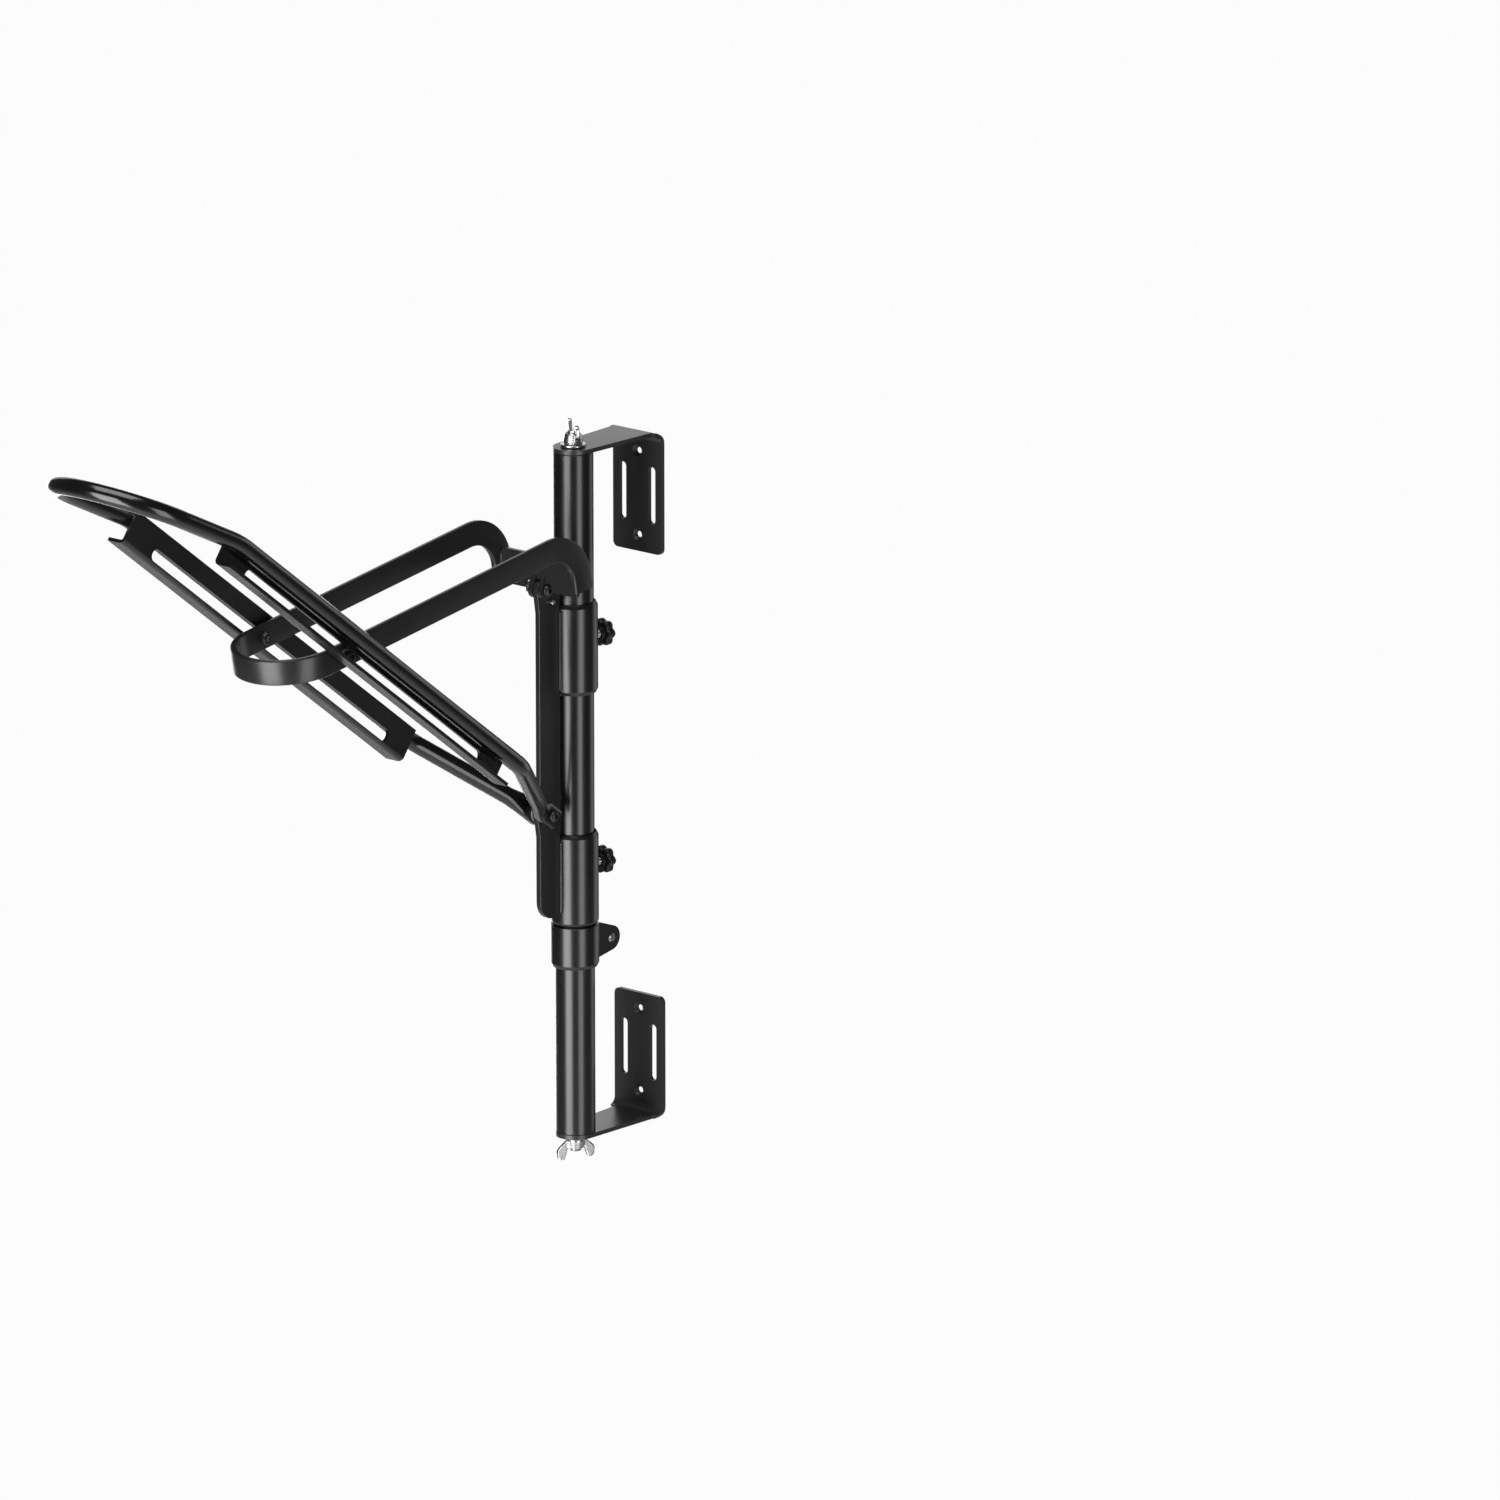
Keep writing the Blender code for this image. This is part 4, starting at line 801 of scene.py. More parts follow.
class Workshop:
    """Turns shapes into finished pieces that ride on the part's bodies."""

    def __init__(self) -> None:
        """Mix every finish once."""
        self.materials = {finish: finish.value.material() for finish in Finish}

    def raw(self, name: str, shape: Shape) -> bpy.types.Object:
        """Object with a shape's mesh, still in millimetres."""
        form = bmesh.new()
        corners = [form.verts.new(point) for point in shape.points]
        for face in shape.faces:
            form.faces.new([corners[i] for i in face])
        bmesh.ops.recalc_face_normals(form, faces=form.faces)
        mesh = bpy.data.meshes.new(name)
        form.to_mesh(mesh)
        form.free()
        piece = bpy.data.objects.new(name, mesh)
        bpy.context.scene.collection.objects.link(piece)
        return piece

    def settle(self, piece: bpy.types.Object, kind: str, settings: Mapping[str, object]) -> None:
        """Add a modifier and apply it.

        Args:
            piece: Object that is changed.
            kind: Blender's name for the modifier's type.
            settings: Attributes of the modifier.
        """
        modifier = piece.modifiers.new(kind, kind)
        for key, value in settings.items():
            setattr(modifier, key, value)
        seen = piece.evaluated_get(bpy.context.evaluated_depsgraph_get())
        old = piece.data
        settled = bpy.data.meshes.new_from_object(seen)
        piece.modifiers.clear()
        piece.data = settled
        bpy.data.meshes.remove(old)
        settled.name = piece.name

    def shape_with(self, piece: bpy.types.Object, how: Cut, shapes: Sequence[Shape]) -> None:
        """Cut, trim or join a piece with each of the shapes."""
        for shape in shapes:
            helper = self.raw("cutter", shape)
            self.settle(piece, "BOOLEAN", {"operation": how.value, "solver": "EXACT", "object": helper})
            bpy.data.meshes.remove(helper.data)

    def mend(self, mesh: bpy.types.Mesh) -> None:
        """Close the hairline slivers that cuts leave."""
        form = bmesh.new()
        form.from_mesh(mesh)
        bmesh.ops.remove_doubles(form, verts=form.verts, dist=MERGE_DISTANCE)
        bmesh.ops.dissolve_degenerate(form, edges=form.edges, dist=MERGE_DISTANCE)
        form.to_mesh(mesh)
        form.free()

    def finish(
        self,
        piece: bpy.types.Object,
        finish: Finish,
        body: str,
        nodes: Sequence[str] = (),
        place: Matrix | None = None,
        ease: float = 0.0,
    ) -> bpy.types.Object:
        """Bring a piece to its place, ease its edges, coat it and set it on its body.

        Args:
            piece: Object in millimetres, in its own frame.
            finish: Its finish.
            body: Body that it rides on.
            nodes: Nodes that it stands for.
            place: Matrix of its frame in millimetres.
            ease: Radius of its eased edges in millimetres, or 0 where its shape has them already.

        Returns:
            The piece.
        """
        mesh = piece.data
        self.mend(mesh)
        mesh.transform(Matrix.Scale(METRES, 4) @ (place or Matrix.Identity(4)))
        mesh.shade_smooth()
        if ease:
            bevel = piece.modifiers.new("eased_edges", "BEVEL")
            bevel.width = ease * METRES
            bevel.segments = 2
            bevel.limit_method = "ANGLE"
            bevel.angle_limit = SHARP_ANGLE
            piece.modifiers.new("closed_corners", "WELD").merge_threshold = MERGE_DISTANCE * METRES
            piece.modifiers.new("flat_faces", "WEIGHTED_NORMAL")
        else:
            mesh.set_sharp_from_angle(angle=SHARP_ANGLE)
        mesh.materials.clear()
        mesh.materials.append(self.materials[finish])
        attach(piece, body)
        if nodes:
            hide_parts(*nodes)
        LOG.info("%s: %s on %s", piece.name, finish.value.name, body)
        return piece

    def make(
        self,
        name: str,
        shape: Shape,
        finish: Finish,
        body: str,
        nodes: Sequence[str] = (),
        place: Matrix | None = None,
    ) -> bpy.types.Object:
        """Finish a shape that needs no cuts.

        Args:
            name: Name of the piece.
            shape: Its shape in its own frame.
            finish: Its finish.
            body: Body that it rides on.
            nodes: Nodes that it stands for.
            place: Matrix of its frame in millimetres.

        Returns:
            The piece.
        """
        return self.finish(self.raw(name, shape), finish, body, nodes, place)

    def coat_node(self, node: str, finish: Finish) -> None:
        """Coat a node that keeps the part's own shape."""
        slots = bpy.data.objects[node].material_slots
        for slot in slots:
            slot.material = self.materials[finish]
        LOG.info("%s: %s", node, finish.value.name)


@dataclass(frozen=True)
class Layout:
    """Sizes and places that several sub-assemblies share.

    Attributes:
        sheet: Thickness of the brackets' sheet.
        plate_height: Height of a wall plate.
        arm_reach: Distance of the pole's axis from the wall.
        pole_radius: Outer radius of the pole.
        pole_length: Length of the pole.
        sleeve_drop: Drop of the sleeve's top below the pole's.
        upper_collar: Length of the upper collar.
        collar_spacing: Bare pole between the collars.
        lower_collar: Length of the lower collar.
        collar_bore: Inner radius of the collars.
        collar_wall: Wall of the collars.
        rib_depth: Depth of the hinge rib.
        rib_thickness: Thickness of the hinge rib.
        ear_radius: Radius of the rib's ear round a pivot.
        bow_pivot_inset: How far the bow's pivot lies behind the rib's front.
        bow_pivot_rise: Height of the bow's pivot above the sleeve's top.
        frame_pivot_inset: How far the loop's pivot lies behind the rib's front.
        frame_pivot_drop: Drop of the loop's pivot below the sleeve's top.
        bow_pivot_radius: Radius of the bow's pivot bolt.
        frame_pivot_radius: Radius of the loop's pivot bolt.
        nut_flats: Size across flats of the small nuts.
        nut_height: Height of the nuts.
        bolt_overhang: How far a bolt stands out of its nut.
        head_radius: Radius of a bolt's head.
        knuckle: Thickness of a knuckle beside the rib's ear.
        spacer: Thickness of a spacer between the rib and the loop.
        tongue_thickness: Thickness of the loop's flattened end.
        frame_slope: Slope of the loop at rest in degrees.
    """

    sheet: float = 3.0
    plate_height: float = 85.0
    arm_reach: float = 68.4
    pole_radius: float = 13.5
    pole_length: float = 472.0
    sleeve_drop: float = 102.7
    upper_collar: float = 62.5
    collar_spacing: float = 97.0
    lower_collar: float = 64.0
    collar_bore: float = 14.7
    collar_wall: float = 1.5
    rib_depth: float = 20.4
    rib_thickness: float = 4.0
    ear_radius: float = 5.8
    bow_pivot_inset: float = 3.3
    bow_pivot_rise: float = 14.7
    frame_pivot_inset: float = 2.9
    frame_pivot_drop: float = 140.3
    bow_pivot_radius: float = 2.5
    frame_pivot_radius: float = 3.0
    nut_flats: float = 8.0
    nut_height: float = 3.6
    bolt_overhang: float = 1.2
    head_radius: float = 3.9
    knuckle: float = 3.4
    spacer: float = 1.2
    tongue_thickness: float = 7.0
    frame_slope: float = 37.2

    @property
    def pole_top(self) -> float:
        """Height of the pole's upper end."""
        return self.plate_height / 2 - self.sheet - SEAT_GAP

    @property
    def pole_bottom(self) -> float:
        """Height of the pole's lower end."""
        return self.pole_top - self.pole_length

    @property
    def lower_plate(self) -> float:
        """Height of the lower wall plate's centre."""
        return self.pole_bottom - SEAT_GAP - self.sheet + self.plate_height / 2

    @property
    def sleeve_top(self) -> float:
        """Height of the sleeve's top."""
        return self.pole_top - self.sleeve_drop

    @property
    def sleeve_length(self) -> float:
        """Length of the sleeve."""
        return self.upper_collar + self.collar_spacing + self.lower_collar

    @property
    def collar_radius(self) -> float:
        """Outer radius of the collars."""
        return self.collar_bore + self.collar_wall

    @property
    def rib_back(self) -> float:
        """Distance of the rib's back edge from the pole's axis."""
        return self.collar_radius + SEAT_GAP

    @property
    def rib_front(self) -> float:
        """Distance of the rib's front edge from the pole's axis."""
        return self.rib_back + self.rib_depth

    @property
    def bow_pivot(self) -> Vector:
        """Place of the bow's pivot."""
        reach = self.rib_front - self.bow_pivot_inset
        return Vector((0.0, -self.arm_reach - reach, self.sleeve_top + self.bow_pivot_rise))

    @property
    def frame_pivot(self) -> Vector:
        """Place of the loop's pivot."""
        reach = self.rib_front - self.frame_pivot_inset
        return Vector((0.0, -self.arm_reach - reach, self.sleeve_top - self.frame_pivot_drop))


@dataclass(frozen=True)
class WallBracket:
    """Bracket of bent sheet: a slotted wall plate and an arm that narrows to a round nose.

    Attributes:
        layout: Shared sizes.
        side: Word that its names begin with.
        height: Height of its plate's centre.
        turned_over: Whether it hangs upside down.
        width: Width of the plate.
        corner: Radius of the plate's free corners.
        bend: Inner radius of the bend.
        arm_width: Width of the arm at its root.
        taper_start: Where the arm starts to narrow.
        slot_spacing: Distance between the slots.
        slot_width: Width of a slot.
        slot_length: Length of a slot.
        slot_drop: Drop of slots and holes below the plate's centre.
        hole_spacing: Distance between the holes.
        hole_radius: Radius of a hole.
        sink_radius: Radius of its countersink.
        stud_radius: Radius of the stud that passes the arm.
    """

    layout: Layout
    side: str
    height: float
    turned_over: bool
    width: float = 42.8
    corner: float = 4.0
    bend: float = 5.0
    arm_width: float = 33.0
    taper_start: float = 8.0
    slot_spacing: float = 25.6
    slot_width: float = 6.0
    slot_length: float = 39.5
    slot_drop: float = 2.4
    hole_spacing: float = 58.0
    hole_radius: float = 2.1
    sink_radius: float = 4.0
    stud_radius: float = 4.0

    def side_view(self) -> list[Pair]:
        """Bent sheet in (y, z), from the plate's foot to the arm's end."""
        sheet = self.layout.sheet
        top = self.layout.plate_height / 2
        outer = self.bend + sheet
        end = -self.layout.arm_reach - self.layout.pole_radius - OVERCUT
        outside = [(0.0, -top)] + arc((-outer, top - outer), outer, 0.0, 90.0) + [(end, top)]
        inside = arc((-outer, top - outer), self.bend, 90.0, 0.0)
        return outside + [(end, top - sheet)] + inside + [(-sheet, -top)]

    def plan(self) -> list[Pair]:
        """Arm in (x, y), narrowing to its round nose, and a wider part that clears the plate."""
        over = self.width / 2 + OVERCUT
        root = self.arm_width / 2
        centre = (0.0, -self.layout.arm_reach)
        nose = self.layout.pole_radius
        right = tangent_angle(centre, nose, (root, -self.taper_start), -1.0)
        right_side = [(over, OVERCUT), (over, -self.taper_start), (root, -self.taper_start)]
        round_end = arc(centre, nose, right, -180.0 - right)
        return right_side + round_end + [(-x, y) for x, y in reversed(right_side)]

    def front(self) -> list[Pair]:
        """Plate in (x, z), with round corners, and round shoulders where the arm leaves it."""
        half = self.width / 2
        arm = self.arm_width / 2
        foot = -self.layout.plate_height / 2
        over = -foot + OVERCUT
        shoulder = half - arm - 0.1
        corners = [
            (arm, over, 0.0),
            (-arm, over, 0.0),
            (-arm, -foot, 0.0),
            (-half, -foot, shoulder),
            (-half, foot, self.corner),
            (half, foot, self.corner),
            (half, -foot, shoulder),
            (arm, -foot, 0.0),
        ]
        return rounded(corners)

    def cutters(self) -> list[Shape]:
        """Slots, countersunk holes and the stud's hole."""
        front = -self.layout.sheet
        sunk = front + self.sink_radius - self.hole_radius
        profile = [
            (self.sink_radius + OVERCUT, front - OVERCUT),
            (self.hole_radius, sunk),
            (self.hole_radius, OVERCUT),
        ]
        hole = skin(rings(Axis.Y, profile, plain, 32))
        made = [drill(Axis.Z, self.stud_radius + SEAT_GAP, 0.0, THROUGH).at(y=-self.layout.arm_reach)]
        for side in (-1.0, 1.0):
            centre = (side * self.slot_spacing / 2, -self.slot_drop)
            slot = stadium(self.slot_length, self.slot_width, centre, True)
            made.append(prism(Axis.Y, slot, front - OVERCUT, OVERCUT))
            made.append(hole.at(z=side * self.hole_spacing / 2 - self.slot_drop))
        return made

    def build(self, shop: Workshop) -> None:
        """Bend, trim, punch and coat the bracket."""
        half = self.width / 2 + OVERCUT / 2
        sheet = shop.raw(f"{self.side}_bracket_sheet", prism(Axis.X, self.side_view(), -half, half))
        tall = self.layout.plate_height
        front = prism(Axis.Y, self.front(), -2 * self.layout.arm_reach, OVERCUT)
        shop.shape_with(sheet, Cut.WITHIN, [prism(Axis.Z, self.plan(), -tall, tall), front])
        shop.shape_with(sheet, Cut.AWAY, self.cutters())
        turn = Matrix.Rotation(math.pi if self.turned_over else 0.0, 4, "Y")
        place = Matrix.Translation((0.0, 0.0, self.height)) @ turn
        # The coat carries painted light: a lighter copy of the pole's powder coat.
        shop.finish(sheet, Finish.LIT_BRACKET, "wall_fixture", [f"{self.side}_bracket"], place, 0.4)


@dataclass(frozen=True)
class Pole:
    """Upright tube with a plug, stud, washer and wing nut at each end.

    Attributes:
        layout: Shared sizes.
        wall: Wall of the tube.
        stud_radius: Radius of the studs.
        stud_inside: Length of a stud below the tube's end.
        stud_outside: Length of a stud above the arm.
        washer_rim: Width of a washer's ring.
        washer_thickness: Thickness of a washer.
        hub_wall: Wall of a wing nut's hub.
        hub_height: Height of a wing nut's hub.
        wing_span: Reach of a wing.
        wing_rise: Height of a wing.
        wing_thickness: Thickness of a wing.
        pitch: Pitch of the studs' threads.
        top_turn: Turn of the upper wing nut in degrees.
        bottom_turn: Turn of the lower wing nut in degrees.
    """

    layout: Layout
    wall: float = 1.8
    stud_radius: float = 4.0
    stud_inside: float = 20.0
    stud_outside: float = 11.0
    washer_rim: float = 4.2
    washer_thickness: float = 1.6
    hub_wall: float = 2.5
    hub_height: float = 7.0
    wing_span: float = 14.0
    wing_rise: float = 15.0
    wing_thickness: float = 2.4
    pitch: float = 1.25
    top_turn: float = -36.0
    bottom_turn: float = 113.0

    def build_tube(self, shop: Workshop) -> None:
        """Make the tube."""
        layout = self.layout
        radius, bore = layout.pole_radius, layout.pole_radius - self.wall
        low, high = layout.pole_bottom, layout.pole_top
        corners = [(radius, low, 0.4), (radius, high, 0.4), (bore, high, 0.3), (bore, low, 0.3)]
        tube = turned_ring(Axis.Z, corners, 96).at(y=-layout.arm_reach)
        shop.make("pole_tube", tube, Finish.POWDER, "wall_fixture", ["pole"])

    def wing(self) -> Shape:
        """One wing: a waisted root that flares to a round ear, thinner towards its rim."""
        hub = self.stud_radius + TURN_GAP + self.hub_wall
        root = self.stud_radius + 1.2
        span, rise = self.wing_span, self.wing_rise
        corners = [
            (root, 0.8, 0.0),
            (hub + 1.0, 1.6, 1.5),
            (span, rise - 8.0, 3.4),
            (span - 0.6, rise, 3.0),
            (span - 5.6, rise - 1.0, 2.4),
            (hub - 0.2, self.hub_height, 1.5),
            (root, self.hub_height - 1.0, 0.0),
        ]
        return prism(Axis.Y, rounded(corners, 18.0), -self.wing_thickness / 2, self.wing_thickness / 2)

    def wing_nut(self, shop: Workshop, side: str, place: Matrix) -> None:
        """Forge one wing nut."""
        bore = self.stud_radius + 2 * TURN_GAP
        radius = bore + self.hub_wall
        top = self.hub_height
        corners = [(radius - 0.4, 0.0, 0.3), (radius, 1.2, 0.6), (radius - 1.2, top, 0.8)]
        nut = shop.raw(f"{side}_wing_nut_forging", turned(Axis.Z, corners))
        wing = self.wing()
        shop.shape_with(nut, Cut.ADDED, [wing, wing.moved(Matrix.Rotation(math.pi, 4, "Z"))])
        shop.shape_with(nut, Cut.AWAY, [drill(Axis.Z, bore + 0.15, -OVERCUT, self.wing_rise)])
        shop.settle(nut, "REMESH", {"mode": "VOXEL", "voxel_size": 0.3})
        shop.settle(nut, "SMOOTH", {"factor": 0.5, "iterations": 5})
        shop.finish(nut, Finish.ZINC, f"{side}_nut", [f"{side}_wing_nut"], place)

    def build_end(self, shop: Workshop, side: str, end: Matrix, turn: float) -> None:
        """Make the fittings of one end.

        Args:
            shop: Workshop that makes them.
            side: Word that their names begin with.
            end: Frame of the tube's end face, its Z pointing away from the tube.
            turn: Turn of the wing nut in degrees.
        """
        arm_face = SEAT_GAP + self.layout.sheet
        tip = arm_face + self.stud_outside
        stud = threaded_rod(Axis.Z, self.stud_radius, -self.stud_inside, tip, self.pitch)
        shop.make(f"{side}_stud_thread", stud, Finish.ZINC, "wall_fixture", [f"{side}_stud"], end)
        seat = arm_face + SEAT_GAP
        bore = self.stud_radius + SEAT_GAP
        ring = washer(Axis.Z, bore, bore + self.washer_rim, seat, seat + self.washer_thickness)
        shop.make(f"{side}_washer_ring", ring, Finish.ZINC, "wall_fixture", [f"{side}_washer"], end)
        nut_seat = Matrix.Translation((0.0, 0.0, seat + self.washer_thickness + SEAT_GAP))
        self.wing_nut(shop, side, end @ nut_seat @ Matrix.Rotation(math.radians(turn), 4, "Z"))
        shop.coat_node(f"{side}_pole_plug", Finish.ZINC)

    def build(self, shop: Workshop) -> None:
        """Make the tube and both ends."""
        self.build_tube(shop)
        layout = self.layout
        top = Matrix.Translation((0.0, -layout.arm_reach, layout.pole_top))
        bottom = Matrix.Translation((0.0, -layout.arm_reach, layout.pole_bottom))
        self.build_end(shop, "top", top, self.top_turn)
        self.build_end(shop, "bottom", bottom @ Matrix.Rotation(math.pi, 4, "X"), self.bottom_turn)


@dataclass(frozen=True)
class StopCollar:
    """Split collar under the sleeve, with its cross screw and knob.

    Attributes:
        layout: Shared sizes.
        length: Length of the collar.
        wall: Wall of the collar.
        slide_gap: Clearance round the pole.
        slit: Width of the slit.
        chamfer: Depth of the chamfer at its foot.
        chamfer_height: Height of that chamfer.
        ear_thickness: Thickness of an ear.
        ear_radius: Radius of an ear.
        ear_standoff: Distance of the screw from the collar.
        ear_drop: Drop of the screw below the collar's top.
        screw_radius: Radius of the screw.
        screw_proud: How far the screw stands out of its ear.
        pitch: Pitch of its thread.
        knob_radius: Radius of the knob's head.
        knob_head: Length of the knob's head.
        knob_neck: Length of the knob's neck.
    """

    layout: Layout
    length: float = 29.4
    wall: float = 2.6
    slide_gap: float = 0.3
    slit: float = 3.0
    chamfer: float = 1.2
    chamfer_height: float = 2.6
    ear_thickness: float = 4.5
    ear_radius: float = 8.5
    ear_standoff: float = 14.6
    ear_drop: float = 16.5
    screw_radius: float = 3.0
    screw_proud: float = 0.8
    pitch: float = 1.0
    knob_radius: float = 11.0
    knob_head: float = 8.0
    knob_neck: float = 8.0

    @property
    def bore(self) -> float:
        """Inner radius of the collar."""
        return self.layout.pole_radius + self.slide_gap

    @property
    def radius(self) -> float:
        """Outer radius of the collar."""
        return self.bore + self.wall

    @property
    def ear_face(self) -> float:
        """Distance of an ear's outer face from the middle."""
        return self.slit / 2 + self.ear_thickness

    def ears(self) -> list[Pair]:
        """Ear pair in (y, z): a round boss that tapers down to the collar's foot."""
        boss = (self.radius + self.ear_standoff, -self.ear_drop)
        root = self.bore + self.wall / 2
        foot = (root, -self.length + self.chamfer + 0.5)
        crown = (root, -self.chamfer - 0.3)
        low = tangent_angle(boss, self.ear_radius, foot, 1.0)
        high = tangent_angle(boss, self.ear_radius, crown, -1.0)
        return [foot] + arc(boss, self.ear_radius, low, high) + [crown]

    def build_collar(self, shop: Workshop, place: Matrix) -> None:
        """Make the split collar."""
        radius, length, chamfer = self.radius, self.length, self.chamfer
        corners = [
            (radius - chamfer, -length, 0.3),
            (radius, -length + self.chamfer_height, 0.6),
            (radius, 0.0, 0.6),
        ]
        collar = shop.raw("clamp_collar_body", turned(Axis.Z, corners, sides=72))
        shop.shape_with(collar, Cut.ADDED, [prism(Axis.X, self.ears(), -self.ear_face, self.ear_face)])
        low, high = -length - OVERCUT, OVERCUT
        slit = [(0.0, low), (THROUGH, low), (THROUGH, high), (0.0, high)]
        hole = drill(Axis.X, self.screw_radius + TURN_GAP, -THROUGH, THROUGH)
        cutters = [
            skin(rings(Axis.Z, [(self.bore, low), (self.bore, high)], plain, 72)),
            prism(Axis.X, slit, -self.slit / 2, self.slit / 2),
            hole.at(y=self.radius + self.ear_standoff, z=-self.ear_drop),
        ]
        shop.shape_with(collar, Cut.AWAY, cutters)
        shop.finish(collar, Finish.POWDER, "stop", ["clamp_collar"], place, 0.5)

    def build_screw(self, shop: Workshop, place: Matrix) -> None:
        """Make the cross screw and its knob."""
        head = self.ear_face + SEAT_GAP
        tip = -head - self.knob_neck - self.knob_head / 2
        end = self.ear_face + self.screw_proud
        radius = self.screw_radius
        thread = thread_steps(radius, tip + self.pitch, end - 0.5, self.pitch)
        groove = threaded(self.pitch, self.pitch * THREAD_DEPTH, tip, end + 0.6)
        screw = skin(rings(Axis.X, [(radius, tip), *thread, (radius - 0.5, end)], groove, 36))
        shop.make("clamp_screw_thread", screw, Finish.ZINC, "stop", ["clamp_screw"], place)
        neck = -head - self.knob_neck
        far = neck - self.knob_head
        grip = self.knob_radius
        bore = radius + TURN_GAP
        corners = [
            (grip - 4.0, far, 1.0),
            (grip - 1.0, far + 0.5, 1.5),
            (grip, far + 2.0, 1.0),
            (grip, neck - 1.4, 0.9),
            (grip - 1.2, neck - 0.2, 0.8),
            (6.0, neck + 0.8, 1.2),
            (5.0, neck + 3.0, 1.0),
            (5.0, -head - 0.3, 0.4),
            (bore, -head - 0.3, 0.2),
            (bore, tip - 0.5, 0.0),
        ]
        knob = turned(Axis.X, corners)
        shop.make("clamp_knob_moulding", knob, Finish.KNOB, "stop_knob", ["clamp_knob"], place)

    def build(self, shop: Workshop) -> None:
        """Make the whole stop."""
        top = self.layout.sleeve_top - self.layout.sleeve_length - SEAT_GAP
        place = Matrix.Translation((0.0, -self.layout.arm_reach, top))
        self.build_collar(shop, place)
        screw = Matrix.Translation((0.0, self.radius + self.ear_standoff, -self.ear_drop))
        self.build_screw(shop, place @ screw)


@dataclass(frozen=True)
class Collar:
    """One collar of the turning sleeve, with its star knob.

    Attributes:
        layout: Shared sizes.
        side: Word that its names begin with.
        top: Height of its top.
        length: Its length.
        star_drop: Drop of the star knob's screw below its top.
        chamfer: Depth of the chamfers.
        chamfer_height: Height of the chamfers.
        lobes: Number of the star knob's lobes.
        star_radius: Radius of the star knob.
        lobe_depth: Depth of its valleys.
        star_thickness: Thickness of the star knob.
        star_standoff: Distance of the star knob from the collar.
        stud_radius: Radius of its stud.
        pitch: Pitch of the stud's thread.
    """

    layout: Layout
    side: str
    top: float
    length: float
    star_drop: float
    chamfer: float = 1.2
    chamfer_height: float = 2.6
    lobes: int = 7
    star_radius: float = 9.6
    lobe_depth: float = 2.6
    star_thickness: float = 9.0
    star_standoff: float = 7.8
    stud_radius: float = 3.0
    pitch: float = 1.0

    def build_ring(self, shop: Workshop) -> None:
        """Make the chamfered ring with the hole for the stud."""
        radius, bore, length = self.layout.collar_radius, self.layout.collar_bore, self.length
        corners = [
            (radius - self.chamfer, 0.0, 0.2),
            (radius, -self.chamfer_height, 0.8),
            (radius, -length + self.chamfer_height, 0.8),
            (radius - self.chamfer, -length, 0.2),
            (bore, -length, 0.0),
            (bore, 0.0, 0.0),
        ]
        ring = shop.raw(f"{self.side}_collar_ring", turned_ring(Axis.Z, corners, 96))
        hole = drill(Axis.Y, self.stud_radius + SEAT_GAP, 0.0, THROUGH)
        shop.shape_with(ring, Cut.AWAY, [hole.at(z=-self.star_drop)])
        place = Matrix.Translation((0.0, -self.layout.arm_reach, self.top))
        shop.finish(ring, Finish.POWDER, "sleeve", [f"{self.side}_collar"], place)

    def build_star(self, shop: Workshop) -> None:
        """Make the star knob and its stud."""
        reach = self.layout.collar_radius + self.star_standoff
        place = Matrix.Translation((0.0, -self.layout.arm_reach + reach, self.top - self.star_drop))
        body = f"{self.side}_star"
        grip, thick = self.star_radius, self.star_thickness
        bore, depth = self.stud_radius + TURN_GAP, thick - 2.5
        corners = [
            (bore, depth, 0.0),
            (bore, 0.0, 0.2),
            (grip / 2, 0.0, 0.4),
            (grip / 2, 1.8, 0.5),
            (grip * 0.86, 2.1, 0.5),
            (grip, 3.3, 0.9),
            (grip, thick - 1.5, 1.1),
            (grip * 0.9, thick - 0.3, 1.6),
            (grip * 0.42, thick, 1.0),
        ]
        star = turned(Axis.Y, corners, lobed(self.lobes, self.lobe_depth, grip), self.lobes * 14)
        shop.make(f"{self.side}_star_moulding", star, Finish.KNOB, body, [f"{self.side}_star_knob"], place)
        start = self.layout.pole_radius + SEAT_GAP - reach
        stud = threaded_rod(Axis.Y, self.stud_radius, start, thick - 2.8, self.pitch)
        shop.make(f"{self.side}_star_stud", stud, Finish.ZINC, body, [f"{self.side}_knob_stud"], place)

    def build(self, shop: Workshop) -> None:
        """Make the collar and its knob, and coat its bushing."""
        self.build_ring(shop)
        self.build_star(shop)
        shop.coat_node(f"{self.side}_bushing", Finish.BEARING)


